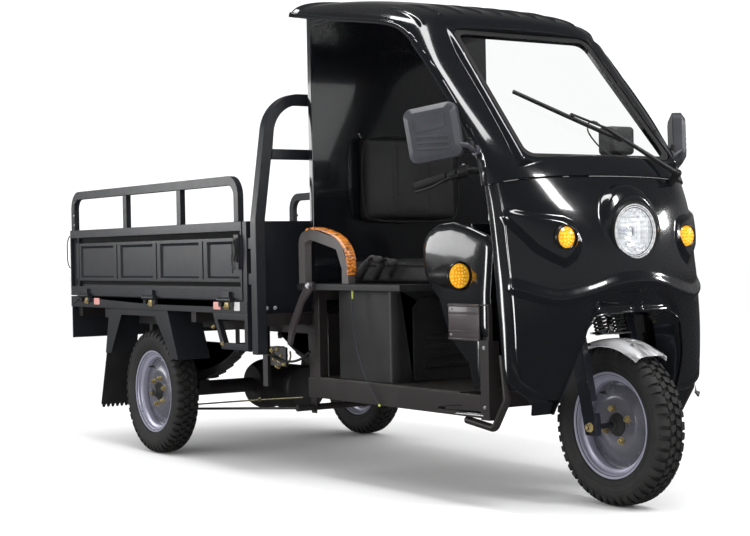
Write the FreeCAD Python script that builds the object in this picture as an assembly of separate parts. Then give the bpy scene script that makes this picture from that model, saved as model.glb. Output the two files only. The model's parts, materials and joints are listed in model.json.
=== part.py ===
"""Electric cargo tricycle with an open-sided driver's cab and a drop-side load bed."""
import FreeCAD, Part
import math
import os

V = FreeCAD.Vector

# Driving dimensions in millimetres. Stations run forward from the rear axle,
# heights run up from the ground and half widths run out from the centre line.
wheelbase = 2181
rear_track = 983
gap = 0.3
play = 6

# Wheels
tyre_diameter = 500
tyre_width = 100
tread_width = 62
bead_flare = 6
shoulder_in = 5
shoulder_drop = 15
rim_radius = 155
rim_width = 78
rim_flange = 11
rim_gauge = 3
well_depth = 16
bead_seat = 16
well_slope = 6
disc_gauge = 5
dish_depth = 16
dish_foot = 18
bolt_ring = 82
hub_radius = 36
hub_width = 96
hub_stand = 22
axle_radius = 9
rear_drum_radius = 92
rear_drum_width = 46
rear_disc_inset = 14
front_drum_radius = 78
front_drum_width = 44
front_disc_inset = 8

# Rear axle and springs
casing_radius = 30
final_drive_radius = 105
final_drive_half = 70
motor_start = 135
motor_end = 330
motor_radius = 92
backplate_gauge = 8
spring_y = 320
spring_seat = 288
spring_half_length = 380
spring_leaf = 8
spring_width = 50
spring_leaves = 5
spring_rise = 110
spring_eye = 18
shackle_half = 14
shackle_gauge = 5
clamp_half = 40

# Load bed
bed_rear = -720
bed_front = 868
bed_half_width = 573
bed_sill_bottom = 583
bed_sill_height = 46
bed_sill_width = 34
bed_sheet = 3
deck_ribs = (-480, -240, 0, 240, 480)
deck_rib_half = 18
side_height = 284
side_gauge = 28
side_rim_low = 40
side_rim_high = 34
channel_height = 24
channel_depth = 14
channel_inset = 92
sheet_set = 3
bay_rim = 10
bay_chamfer = 12
bay_depth = 12
rib_width = 42
rib_groove = 9
rib_depth = 9
side_rib_shares = (0.309, 0.549, 0.804)
tail_rib_shares = (-0.34, 0.34)
side_hinge_shares = (0.11, 0.52, 0.93)
tail_hinge_share = 0.6
rail_top = 1085
rail_side = 34
rail_corner = 60
rail_rear_inset = 30
rail_front_inset = 40
rail_post_shares = (0.36, 0.69)
latch_inset = 6
latch_width = 34
latch_depth = 10
latch_low = 745
latch_high = 870
hinge_radius = 9
hinge_length = 60
hinge_eye = 22
hinge_strap = 30
hinge_drop = 26
hinge_offset = 12
subframe_height = 78
subframe_gauge = 50
cross_member_height = 42
cross_member_width = 40
cross_stations = (-680, -400, 0, 400, 843)
brake_shaft_x = 905
brake_shaft_height = 236
brake_shaft_radius = 12
brake_rod_y = 382
brake_arm_x = -10
brake_arm_z = 168
hanger_half = 16
hanger_gauge = 6
valance_bottom = 446
valance_gauge = 6
tail_lamp_y = 400
tail_lamp_half = 70
tail_lamp_low = 485
tail_lamp_high = 555
tail_lamp_depth = 20

# Fenders, flaps and side guards
fender_inner = 420
fender_inset = 11
fender_sheet = 4
fender_foot = 392
fender_rear_top = -343
fender_rear_foot = -388
fender_front_top = 203
fender_front_foot = 290
cheek_top = 134
cheek_foot = 54
cheek_lip = 26
flap_inset = 8
flap_low = 142
flap_gauge = 8
flap_teeth = 6
tooth_height = 15
flap_lean = 17
guard_inset = 4
guard_depth = 22
guard_rear = 597
guard_rear_foot = 664
guard_front = 862
guard_foot = 450
guard_rim = 24

# Headboard hoop
hoop_station = 920
hoop_side = 40
hoop_top = 1373
hoop_bar_drop = 218
hoop_bar_side = 36
hoop_foot = 440
hoop_corner = 130
hoop_lean = 60

# Cab frame and floor
sill_half_width = 402
sill_width = 34
sill_bottom = 285
sill_height = 70
sill_rear = 1000
sill_front = 2005
floor_gauge = 4
floor_rear = 1051
floor_front = 1900
floor_members = (1300, 1560)
member_half = 25
upright_x = 1045
upright_depth = 36
seat_rail_height = 36

# Driver's place
seat_half_width = 340
board_half_width = 442
board_rear = 1000
seat_rear = 1120
seat_front = 1650
seat_base = 690
seat_thickness = 80
seat_edge = 14
seat_board = 22
box_front = 1500
box_rear = 1165
box_half_width = 372
box_wall = 10
cover_ribs = 4
cover_rib_low = 46
cover_rib_pitch = 32
cover_rib_height = 14
cover_rib_half = 252
cover_border = 40
cover_shoulder = 60
cover_crest = 24
battery_half_width = 250
battery_height = 240
backrest_half_width = 212
backrest_low = 908
backrest_high = 1220
backrest_thickness = 52
backrest_edge = 12
arm_rear = 1026
arm_front = 1308
arm_high = 866
arm_width = 40
arm_gauge = 30
lever_pivot = 1105
lever_pin = 7
lever_gauge = 12
lever_outline = [(1084, 700), (1120, 696), (1116, 672), (1052, 622), (1000, 545), (966, 470), (944, 472),
                 (962, 545), (1030, 640)]
lever_stand = 14

# Cab shell
wall_station = 1030
wall_gauge = 26
wall_half_width = 394
recess_half_width = 215
recess_spring = 1325
recess_depth = 12
cab_half_width = 400
headlamp_height = 846
headlamp_radius = 94
bezel_radius = 7
ring_sides = 8
bowl_depth = 70
lens_bulge = 12
lens_dome = 260
signal_height = 831
signal_y = 248
signal_radius = 38
signal_face = 2236
signal_depth = 62
signal_bulge = 12
signal_dome = 62
signal_ring = 4
# Cab shell. Its profile stations run from the roof's rear edge over the brow and down
# to the foot of the nose. Each holds the centre line's station and height, the door
# edge's station and height, the half width and the squareness of the section.
shell_ribs = [
    (936, 1712, 936, 1648, 404, 0.10),
    (1080, 1701, 1080, 1621, 406, 0.10),
    (1240, 1681, 1240, 1594, 406, 0.10),
    (1400, 1653, 1385, 1570, 406, 0.10),
    (1520, 1628, 1490, 1552, 406, 0.10),
    (1610, 1605, 1560, 1537, 404, 0.09),
    (1675, 1583, 1612, 1517, 402, 0.08),
    (1712, 1562, 1650, 1492, 400, 0.06),
    (1732, 1535, 1690, 1458, 399, 0.04),
    (1762, 1490, 1737, 1412, 398, 0.02),
    (1800, 1440, 1782, 1365, 397, 0.0),
    (1862, 1372, 1838, 1305, 397, 0.0),
    (1945, 1285, 1910, 1222, 397, 0.0),
    (2022, 1205, 1966, 1150, 396, 0.0),
    (2085, 1135, 2006, 1092, 396, 0.01),
    (2140, 1075, 2026, 1042, 395, 0.025),
    (2183, 1018, 2036, 992, 395, 0.035),
    (2224, 945, 2047, 935, 395, 0.035),
    (2250, 885, 2056, 882, 395, 0.02),
    (2267, 825, 2065, 825, 395, 0.01),
    (2279, 760, 2074, 760, 396, 0.0),
    (2286, 695, 2083, 695, 397, 0.0),
    (2287, 630, 2091, 630, 398, 0.0),
    (2284, 560, 2100, 560, 398, 0.0),
    (2274, 500, 2107, 500, 398, 0.0),
    (2254, 440, 2115, 440, 398, 0.0),
    (2226, 385, 2122, 385, 398, 0.0),
    (2196, 335, 2129, 335, 398, 0.0),
    (2170, 292, 2134, 292, 398, 0.0),
]
brow_row = 7.9
cowl_row = 16
foot_row = 28
shell_gauge = 7

# Features of the shell: outlines by half width and height on one side
shell_columns = 24
shell_rows_each = 1.5
shell_seam = 0.008
fore_from = 1850
fore_run = 550
crease_line = [(0, 693), (50, 691), (90, 685), (130, 674), (170, 662), (220, 650), (268, 643), (294, 646),
               (333, 659), (360, 671), (383, 681)]
crease_end = 383
crease_lift = 9
crease_ridge = 13
crease_above = 34
pod_outline = [(191, 815), (200, 849), (213, 877), (239, 891), (275, 898), (314, 904), (363, 919),
               (377, 916),
               (388, 897), (384, 878), (365, 847), (330, 792), (290, 763), (252, 742), (218, 765),
               (200, 794)]
pod_lift = 13
pod_edge = 7
hood_centre = 874
hood_radius = 124
hood_face = 2264
hood_back = 2196
visor_outline = [(0, 677), (83, 671), (129, 655), (156, 641), (170, 625), (185, 604), (188, 560), (0, 560)]
visor_depth = 14
pocket_low = 605
pocket_high = 637
pocket_near = 12
pocket_far = 153
pocket_depth = 4
slot_steps = 6
apron_outline = [(205, 346), (264, 346), (312, 350), (312, 240), (205, 240)]
apron_depth = 13
corner_outline = [(450, 478), (399, 476), (396, 411), (379, 377), (345, 354), (318, 330), (305, 240),
                  (450, 240)]
cowl_outline = [(0, 1000), (134, 1000), (252, 1005), (279, 1031), (297, 1057), (300, 1110), (0, 1110)]
cowl_depth = 5
ridge_lines = (35, 110, 190, 270, 345)
ridge_lift = 5.5
ridge_half = 16
ridge_start = 1440
ridge_taper = 130
ridge_end = 1690
ridge_fan = 0.05
roll_lift = 8
roll_rows = 0.22
lip_lift = 6
lip_turn = 0.17
lip_over = 0.006
border_width = 34
border_stand = 7
border_back = 17
border_bend = 46
border_block = 120
glass_bend = 30

# Wheel arch in the nose: half width and height of the opening at the front and behind
arch_front = [(150, 591), (166, 598), (180, 583), (191, 555), (200, 519), (213, 485), (227, 425),
              (235, 366), (243, 280)]
arch_rear = [(118, 575), (133, 572), (143, 562), (154, 540), (166, 500), (176, 463), (184, 420), (194, 366),
             (200, 280)]
arch_front_x = 2250
arch_rear_x = 2185
arch_shoulder = 500
arch_wall = 5
arch_depth = 66

# Windshield, wiper and mirrors
glass_low = 1084
glass_high = 1490
glass_low_half = 285
glass_high_half = 266
glass_low_x = 2100
glass_high_x = 1738
glass_gauge = 5
glass_margin = 22
glass_rest = 14
gasket_stand = 10
wiper_pivot_y = 257
wiper_pivot_drop = 102
wiper_spindle = 12
wiper_under = 30
wiper_over = 38
wiper_middle_y = 81
wiper_middle_up = 101
wiper_joint_y = -26
wiper_joint_up = 156
wiper_low_y = 129
wiper_low_up = 57
wiper_high_y = -200
wiper_high_up = 266
wiper_blade_off = 19
motor_x = 1972
motor_y = 200
motor_z = 1145
motor_length = 70
motor_width = 105
motor_height = 92
motor_corner = 14
motor_stay = 6
motor_stay_reach = (5, 35)
mirror_x = 1936
mirror_y = 512
mirror_z = 1156
mirror_width = 168
mirror_height = 168
mirror_depth = 44
mirror_corner = 26
mirror_ribs = 3
mirror_rib = 9
mirror_slant = 8
mirror_relief = 3
mirror_front_share = 0.8
mirror_plate_share = 0.55
mirror_plate_low = 0.1
mirror_plate_high = 0.62
mirror_rib_share = 0.6
mirror_rib_start = 0.62
mirror_rib_step = 0.22
mirror_turn = 52
mirror_row = 14
stalk_x = 2012
stalk_z = 1100
stalk_out = 55
stalk_foot = 12
stalk_radius = 8
stalk_bend = 14

# Leg shield, side lamps, posts and guard tubes
shield_top = 880
shield_gauge = 8
shield_half_width = 384
wing_outline = [(1955, 371), (1952, 429), (1905, 462), (1835, 518), (1800, 585), (1775, 642), (1728, 684),
                (1703, 722),
                (1691, 763), (1693, 817), (1705, 840), (1727, 858), (1782, 882), (1861, 887), (1938, 872),
                (2037, 840),
                (2056, 815), (2056, 790), (2040, 660), (2040, 525), (2004, 523), (2004, 371)]
lamp_pad_outline = [(1752, 668), (1935, 668), (1955, 700), (1950, 765), (1905, 800), (1790, 790),
                    (1745, 740)]
pad_lift = 4
board_edge_x = 1992
board_nose_x = 2036
board_lean = 40
tunnel_foot = 300
tunnel_low_half = 235
tunnel_shoulder = 575
tunnel_high_half = 175
tunnel_top = 672
side_lamp_y = 402
side_lamp_height = 720
side_lamp_x = 1907
side_lamp_back = 1772
side_lamp_radius = 45
side_lamp_tail = 20
side_lamp_bulge = 10
side_lamp_dome = 105
post_y = 380
post_side = 42
post_top_z = 520
bracket_rear = 1846
bracket_low = 519
bracket_high = 632
bracket_wall = 4
guard_y = 384
guard_radius = 12
guard_turn = 24
guard_top_x = 2094
guard_top = 480
guard_knee_x = 2112
guard_knee = 345
guard_bend_x = 2051
guard_bend = 256
guard_end_x = 1912
guard_end = 272.6

# Steering
rake = 20
steer_ground = 2215
stem_radius = 14
head_tube_radius = 24
head_low = 630
head_high = 800
head_clear = 14
backbone_head = 735
backbone_foot = 1690
backbone_knee = 560
backbone_radius = 24
backbone_bend = 90
crown_height = 26
crown_back = 40
crown_tail = 60
crown_front = 2140
axle_leg_top = 2092
leg_outer = 118
leg_depth = 26
leg_wall = 4
leg_top_width = 56
leg_foot_width = 44
leg_foot_drop = 26
axle_end = 14
shock_y = 38
shock_foot_x = 2152
shock_foot_z = 536
shock_head_x = 2136
shock_tube = 16
shock_coil = 23
shock_coils = 4
shock_reach = 100
yoke_half = 30
yoke_gauge = 6
post_top = 588
post_lean = 18
post_radius = 9
handlebar_radius = 11
handlebar_height = 985
bar_drop = 24
bar_rise = 60
bar_bend = 20
bar_end = (1588, 328, 1010)
bar_shoulder = (1760, 250, 1056)
bar_rise_y = 120
bar_clamp_y = 70
clamp_gauge = 14
grip_radius = 16
grip_length = 118
fender_lift = 18
fender_half_width = 59
fender_skirt = 26
fender_round = 10
fender_gauge = 3
fender_front_angle = 36
fender_rear_angle = 60
fender_stay_angle = 14
fender_stay_radius = 6

# Sizes that follow from the driving dimensions
tyre_radius = tyre_diameter / 2
axle_height = tyre_radius
rear_wheel_y = rear_track / 2
bed_deck = bed_sill_bottom + bed_sill_height
side_base = bed_deck + 4
side_top = side_base + side_height
side_rear = bed_rear
side_front = bed_front - side_gauge - play
rake_slope = math.tan(math.radians(rake))
floor_top = sill_bottom + sill_height + floor_gauge
shield_low = floor_top + 12
hinge_out = bed_half_width + hinge_offset
hinge_height = side_base
rear_reach = bed_rear - hinge_offset - hinge_radius
front_reach = wheelbase + tyre_radius
origin_shift = -(rear_reach + front_reach) / 2
parts_folder = "parts"


def steer_x(height):
    """Station of the steering axis at a height."""
    return steer_ground - rake_slope * height


def box(x, y, z):
    """Block between the low and high value given for each direction."""
    return Part.makeBox(x[1] - x[0], y[1] - y[0], z[1] - z[0], V(x[0], y[0], z[0]))


def rod(start, end, radius):
    """Round bar between two points."""
    line = V(*end) - V(*start)
    return Part.makeCylinder(radius, line.Length, V(*start), line)


def ring(start, end, outer, inner):
    """Round tube between two points."""
    return rod(start, end, outer).cut(rod(start, end, inner))


def prism(outline, axis, low, high):
    """Polygon drawn in the plane across an axis, extruded between two values."""
    place = {
        "x": lambda a, b: V(low, a, b),
        "y": lambda a, b: V(a, low, b),
        "z": lambda a, b: V(a, b, low),
    }[axis]
    run = {"x": V(high - low, 0, 0), "y": V(0, high - low, 0), "z": V(0, 0, high - low)}[axis]
    corners = [place(a, b) for a, b in outline]
    return Part.Face(Part.makePolygon(corners + corners[:1])).extrude(run)


def path(points, bend):
    """Wire of straight runs joined by tangent arcs of one radius."""
    corners = [V(*p) for p in points]
    edges = []
    start = corners[0]
    for before, corner, after in zip(corners, corners[1:], corners[2:]):
        back = (before - corner).normalize()
        ahead = (after - corner).normalize()
        half = (math.pi - back.getAngle(ahead)) / 2
        reach = bend * math.tan(half)
        middle = (back + ahead).normalize()
        first = corner + back * reach
        last = corner + ahead * reach
        crown = corner + middle * (bend / math.cos(half) - bend)
        edges.append(Part.LineSegment(start, first).toShape())
        edges.append(Part.Arc(first, crown, last).toShape())
        start = last
    edges.append(Part.LineSegment(start, corners[-1]).toShape())
    return Part.Wire(edges)


def bent_rod(points, radius, bend):
    """Round bar that follows straight runs and bends."""
    start = V(*points[0])
    along = V(*points[1]) - start
    section = Part.Wire(Part.makeCircle(radius, start, along))
    return path(points, bend).makePipeShell([section], True, True)


def bent_bar(points, side, depth, bend, normal):
    """Rectangular bar in one plane: side lies in the plane, depth along its normal."""
    start = V(*points[0])
    along = (V(*points[1]) - start).normalize()
    across = V(*normal).normalize()
    wide = along.cross(across)
    corners = []
    for s, d in ((-1, -1), (1, -1), (1, 1), (-1, 1)):
        corners.append(start + wide * (s * side / 2) + across * (d * depth / 2))
    section = Part.makePolygon(corners + corners[:1])
    return path(points, bend).makePipeShell([section], True, True)


def join(shapes):
    """One solid from touching shapes."""
    shapes = list(shapes)
    return shapes[0].multiFuse(shapes[1:]).removeSplitter()


def mirrored(shape):
    """The same shape on the other side of the centre line."""
    return shape.mirror(V(0, 0, 0), V(0, 1, 0))


def pair(part):
    """Right and left pieces of one node, each made by a function of the side."""
    return Part.makeCompound([part(-1), part(1)])


def save(name, shape):
    """Write one node, moved so that the origin is below the middle of the vehicle."""
    placed = shape.copy()
    placed.translate(V(origin_shift, 0, 0))
    if not placed.isValid():
        print("not valid:", name)
    placed.exportStep(os.path.join(parts_folder, name + ".step"))
    extent = placed.BoundBox
    print(f"{name:22s} {len(placed.Solids)} {placed.Volume / 1e6:9.3f}",
          f"{extent.XMin:.0f} {extent.XMax:.0f} {extent.YMin:.0f} {extent.YMax:.0f}",
          f"{extent.ZMin:.0f} {extent.ZMax:.0f}")


def revolve_about_y(outline, centre):
    """Closed outline of (y, radius) points and arcs turned about a wheel axis."""
    edges = []
    for piece in outline:
        points = [V(centre[0], centre[1] + y, centre[2] + r) for y, r in piece]
        if len(points) == 2:
            edges.append(Part.LineSegment(*points).toShape())
        else:
            edges.append(Part.Arc(*points).toShape())
    face = Part.Face(Part.Wire(edges))
    return face.revolve(V(*centre), V(0, 1, 0), 360)


def tyre(centre):
    """Tyre: bead seat, flared wall, round shoulder and flat tread."""
    half = tyre_width / 2
    bead = rim_radius + gap
    bead_y = rim_width / 2 - rim_gauge - gap
    flare = rim_radius + rim_flange + bead_flare
    side = [(bead_y, bead), (bead_y, flare), (half, (flare + tyre_radius) / 2),
            (half - shoulder_in, tyre_radius - shoulder_drop),
            (tread_width / 2, tyre_radius)]
    outline = side + [(-y, r) for y, r in side[::-1]]
    return revolve_about_y(closed(outline), centre)


def closed(points):
    """Straight pieces through a list of points and back to the first."""
    return [[a, b] for a, b in zip(points, points[1:] + points[:1])]


def rim(centre, outward, drum_radius, drum_width, drum_side, disc_y):
    """Steel rim: drop-centre barrel, dished disc with a raised bolt ring, brake drum and hub."""
    edge = rim_width / 2
    top = rim_radius + rim_flange
    under = rim_radius - rim_gauge
    well = rim_radius - well_depth
    barrel = [(-edge, top), (-edge + rim_gauge, top), (-edge + rim_gauge, rim_radius),
              (-edge + bead_seat, rim_radius), (-edge + bead_seat + well_slope, well),
              (edge - bead_seat - well_slope, well), (edge - bead_seat, rim_radius),
              (edge - rim_gauge, rim_radius),
              (edge - rim_gauge, top), (edge, top), (edge, under), (edge - bead_seat, under),
              (edge - bead_seat - well_slope, well - rim_gauge),
              (-edge + bead_seat + well_slope, well - rim_gauge),
              (-edge + bead_seat, under), (-edge, under)]
    solid = revolve_about_y(closed(barrel), centre)
    face_y = outward * disc_y
    back_y = face_y - outward * disc_gauge
    dish_y = face_y - outward * dish_depth
    dish_back = dish_y - outward * disc_gauge
    foot = well - rim_gauge + 1
    disc = [(dish_y, foot), (dish_back, foot), (dish_back, foot - dish_foot),
            (back_y, bolt_ring + disc_gauge), (back_y, hub_radius - 1), (face_y, hub_radius - 1),
            (face_y, bolt_ring), (dish_y, foot - dish_foot + disc_gauge)]
    solid = solid.fuse(revolve_about_y(closed(disc), centre))
    cx, cy, cz = centre
    hub_out = cy + outward * (disc_y + hub_stand)
    hub_in = cy - outward * hub_width / 2
    solid = solid.fuse(rod((cx, hub_in, cz), (cx, hub_out, cz), hub_radius))
    drum_start = cy + drum_side * (hub_width / 2 - 2)
    drum_end = drum_start - drum_side * drum_width
    solid = solid.fuse(rod((cx, drum_start, cz), (cx, drum_end, cz), drum_radius))
    return solid.removeSplitter()


def rear_wheel(side):
    """Tyre and rim of one rear wheel, with the blind bore for the axle end."""
    centre = (0, side * rear_wheel_y, axle_height)
    steel = rim(centre, side, rear_drum_radius, rear_drum_width, -side, rear_disc_inset)
    inner_end = side * (rear_wheel_y - hub_width / 2 - 5)
    bore_end = side * (rear_wheel_y + 20)
    bore = rod((0, inner_end, axle_height), (0, bore_end, axle_height), axle_radius + gap)
    return tyre(centre), steel.cut(bore)


def front_wheel():
    """Tyre and rim of the steered wheel, bored through for its axle."""
    centre = (wheelbase, 0, axle_height)
    steel = rim(centre, -1, front_drum_radius, front_drum_width, 1, front_disc_inset)
    bore = rod((wheelbase, -hub_width, axle_height), (wheelbase, hub_width, axle_height), axle_radius + gap)
    return tyre(centre), steel.cut(bore)


def rear_axle():
    """Axle casing with a final-drive housing, spring seats, brake plates and shaft ends."""
    plate_y = rear_wheel_y - hub_width / 2 - 1
    casing = rod((0, -plate_y + 6, axle_height), (0, plate_y - 6, axle_height), casing_radius)
    ball = final_drive_radius
    final_drive = Part.makeSphere(ball, V(0, 0, axle_height)).common(
        box((-ball, ball), (-final_drive_half, final_drive_half), (axle_height - ball, axle_height + ball)))
    nose = Part.makeCone(final_drive_half, final_drive_half * 0.7, motor_start - final_drive_half,
                         V(final_drive_half, 0, axle_height),
                         V(1, 0, 0))
    pieces = [casing, final_drive, nose]
    for side in (-1, 1):
        inner = (0, side * (plate_y - backplate_gauge), axle_height)
        outer = (0, side * plate_y, axle_height)
        pieces.append(rod(inner, outer, rear_drum_radius + 6))
        pieces.append(rod(outer, (0, side * (rear_wheel_y + hub_stand - 7), axle_height), axle_radius))
        seat_y = side * spring_y
        pieces.append(box((-clamp_half - 5, clamp_half + 5),
                          (seat_y - spring_width / 2 + 1, seat_y + spring_width / 2 - 1),
                          (axle_height, spring_seat)))
    return join(pieces)


def leaf_spring(side):
    """Pack of curved leaves, longest on top, with rolled eyes and a shackle."""
    low_y = side * spring_y - spring_width / 2
    leaves = []
    for i in range(spring_leaves):
        share = 1 - i / (spring_leaves + 1)
        half = spring_half_length * share
        rise = spring_rise * share * share
        level = spring_seat + gap + (spring_leaves - 1 - i) * spring_leaf
        low = Part.Arc(V(-half, low_y, level + rise), V(0, low_y, level), V(half, low_y, level + rise))
        top = Part.Arc(V(half, low_y, level + rise + spring_leaf), V(0, low_y, level + spring_leaf),
                       V(-half, low_y, level + rise + spring_leaf))
        ends = [Part.LineSegment(V(half, low_y, level + rise), V(half, low_y, level + rise + spring_leaf)),
                Part.LineSegment(V(-half, low_y, level + rise + spring_leaf),
                                 V(-half, low_y, level + rise))]
        wire = Part.Wire([low.toShape(), ends[0].toShape(), top.toShape(), ends[1].toShape()])
        leaves.append(Part.Face(wire).extrude(V(0, spring_width, 0)))
    eye_level = spring_seat + gap + spring_rise + (spring_leaves - 1) * spring_leaf + spring_leaf / 2
    for end in (-1, 1):
        eye = (end * (spring_half_length + 4), low_y, eye_level)
        leaves.append(rod(eye, (eye[0], low_y + spring_width, eye[2]), spring_eye))
    clamp_top = spring_seat + gap + spring_leaves * spring_leaf
    leaves.append(box((-clamp_half, clamp_half), (low_y - 6, low_y + spring_width + 6),
                      (clamp_top - 2, clamp_top + spring_leaf + 4)))
    for end in (-1, 1):
        eye_x = end * (spring_half_length + 4)
        for ear in (low_y - shackle_gauge, low_y + spring_width):
            leaves.append(box((eye_x - shackle_half, eye_x + shackle_half), (ear, ear + shackle_gauge),
                              (eye_level - spring_eye - 2, bed_sill_bottom - subframe_height - gap)))
        leaves.append(rod((eye_x, low_y - 2 * shackle_gauge, eye_level),
                          (eye_x, low_y + spring_width + 2 * shackle_gauge, eye_level),
                          shackle_gauge + 3))
    return join(leaves)


def rectangle_tube(start, end, width, height):
    """Straight rectangular member along one of the three directions."""
    low = [min(a, b) for a, b in zip(start, end)]
    high = [max(a, b) for a, b in zip(start, end)]
    spread = {0: (None, width, height), 1: (width, None, height), 2: (width, height, None)}
    run = max(range(3), key=lambda i: high[i] - low[i])
    for i, size in enumerate(spread[run]):
        if size is not None:
            low[i] -= size / 2
            high[i] += size / 2
    return box((low[0], high[0]), (low[1], high[1]), (low[2], high[2]))


def bed_subframe():
    """Two long members and cross members under the bed, with hangers for the brake shaft."""
    top = bed_sill_bottom
    middle = top - subframe_height / 2
    pieces = []
    for side in (-1, 1):
        y = side * spring_y
        pieces.append(rectangle_tube((bed_rear + cross_member_width / 2, y, middle),
                                     (wall_station + 20, y, middle),
                                     subframe_gauge, subframe_height))
        hanger = prism([(brake_shaft_x - 2 * hanger_half, top - subframe_height + 1),
                        (brake_shaft_x - hanger_half, brake_shaft_height - 22),
                        (brake_shaft_x + hanger_half, brake_shaft_height - 22),
                        (brake_shaft_x + 2 * hanger_half,
                         top - subframe_height + 1)], "y", y - hanger_gauge / 2, y + hanger_gauge / 2)
        pieces.append(hanger)
    low = top - cross_member_height
    narrow = fender_inner - play
    wide = bed_half_width - guard_inset - guard_depth - gap
    reaches = [(x, wide if x else narrow) for x in cross_stations] + [(hoop_station,
                                                                       bed_half_width - hoop_side - gap)]
    for x, reach in reaches:
        pieces.append(box((x - cross_member_width / 2, x + cross_member_width / 2), (-reach, reach),
                          (low, top)))
    bore = rod((brake_shaft_x, -bed_half_width, brake_shaft_height),
               (brake_shaft_x, bed_half_width, brake_shaft_height),
               brake_shaft_radius + gap)
    return join(pieces).cut(bore)


def bed_floor():
    """Bed deck with its sill frame and the fixed front wall."""
    outer = box((bed_rear, bed_front), (-bed_half_width, bed_half_width), (bed_sill_bottom, bed_deck))
    rim = bed_sill_width
    hollow = box((bed_rear + rim, bed_front - rim), (-bed_half_width + rim, bed_half_width - rim),
                 (bed_sill_bottom - 1, bed_deck - bed_sheet))
    frame = outer.cut(hollow)
    wall_low = bed_deck - 1
    wall = box((bed_front - side_gauge, bed_front), (-bed_half_width + 2, bed_half_width - 2),
               (wall_low, side_top))
    pieces = [frame, wall]
    for side in (-1, 1):
        y = side * (bed_half_width - hoop_side / 2)
        for z in (bed_deck + 2 * hoop_side, side_top - 2 * hoop_side):
            pieces.append(box((bed_front - 1, hoop_station - hoop_side / 2 - gap),
                              (y - hoop_side / 3, y + hoop_side / 3),
                              (z - hoop_side / 2, z + hoop_side / 2)))
        for s in side_hinge_stations():
            for end in (-1, 1):
                near = s + end * (hinge_length / 2 + gap)
                far = near + end * hinge_eye
                pieces.append(rod((near, side * hinge_out, hinge_height),
                                  (far, side * hinge_out, hinge_height),
                                  hinge_radius))
                pieces.append(box(sorted((near, far)),
                                  sorted((side * (bed_half_width - 1), side * hinge_out)),
                                  (hinge_height - hinge_drop, hinge_height - 5)))
    for s in tail_hinge_stations():
        x = bed_rear - hinge_offset
        for end in (-1, 1):
            near = s + end * (hinge_length / 2 + gap)
            far = near + end * hinge_eye
            pieces.append(rod((x, near, hinge_height), (x, far, hinge_height), hinge_radius))
            pieces.append(box((x, bed_rear + 1), sorted((near, far)),
                              (hinge_height - hinge_drop, hinge_height - 5)))
    for x in deck_ribs:
        pieces.append(box((x - deck_rib_half, x + deck_rib_half),
                          (-bed_half_width + rim - 1, bed_half_width - rim + 1),
                          (bed_sill_bottom, bed_deck - bed_sheet + 1)))
    return join(pieces)


def pressed_side(board, axis, start, end, ribs, face, inward):
    """Cut the pressed form into an upright board's outer face.

    Two long channels run under the top rim and over the bottom rim, and the sheet
    between them lies back a little, with a chamfered bay between each pair of ribs.
    """
    def slab(a0, a1, z0, z1, depth):
        across = sorted((face - inward, face + inward * depth))
        return box((a0, a1), across, (z0, z1)) if axis == "x" else box(across, (a0, a1), (z0, z1))

    def frame_wire(a0, a1, z0, z1, off):
        place = (lambda a, z: V(a, off, z)) if axis == "x" else (lambda a, z: V(off, a, z))
        corners = [place(a0, z0), place(a1, z0), place(a1, z1), place(a0, z1)]
        return Part.makePolygon(corners + corners[:1])

    top = side_top - side_rim_high
    low = side_base + side_rim_low
    cuts = [slab(start, end, top - channel_height, top, channel_depth),
            slab(start, end, low, low + channel_height, channel_depth),
            slab(start, end, low + channel_height - 1, top - channel_height + 1, sheet_set)]
    sheet_low = low + channel_height + bay_rim
    sheet_top = top - channel_height - bay_rim
    edges = [start] + [a for rib in ribs for a in (rib - rib_width / 2, rib + rib_width / 2)] + [end]
    for a0, a1 in zip(edges[::2], edges[1::2]):
        a0, a1 = a0 + bay_rim, a1 - bay_rim
        near = face - inward * 0.5
        far = face + inward * bay_depth
        mouth = frame_wire(a0, a1, sheet_low, sheet_top, near)
        bed = frame_wire(a0 + bay_chamfer, a1 - bay_chamfer, sheet_low + bay_chamfer,
                         sheet_top - bay_chamfer, far)
        cuts.append(Part.makeLoft([mouth, bed], True, True))
    for rib in ribs:
        cuts.append(slab(rib - rib_groove / 2, rib + rib_groove / 2, sheet_low, sheet_top, rib_depth))
    for cut in cuts:
        board = board.cut(cut)
    return board


def side_hinge_stations():
    """Middles of the drop side's hinges along the bed."""
    span = side_front - side_rear
    return [side_rear + span * share for share in side_hinge_shares]


def tail_hinge_stations():
    """Middles of the tailgate's hinges across the bed."""
    reach = bed_half_width * tail_hinge_share
    return [-reach, 0, reach]


def hinge_knuckles(stations, along_x):
    """Short barrels on the hinge line with the strap that carries them."""
    pieces = []
    for s in stations:
        low, high = s - hinge_length / 2, s + hinge_length / 2
        if along_x:
            pieces.append(rod((low, -hinge_out, hinge_height), (high, -hinge_out, hinge_height),
                              hinge_radius))
            pieces.append(box((low, high), (-hinge_out, -bed_half_width + 1),
                              (side_base, side_base + hinge_strap)))
        else:
            x = bed_rear - hinge_offset
            pieces.append(rod((x, low, hinge_height), (x, high, hinge_height), hinge_radius))
            pieces.append(box((x, bed_rear + 1), (low, high), (side_base, side_base + hinge_strap)))
    return pieces


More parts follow.
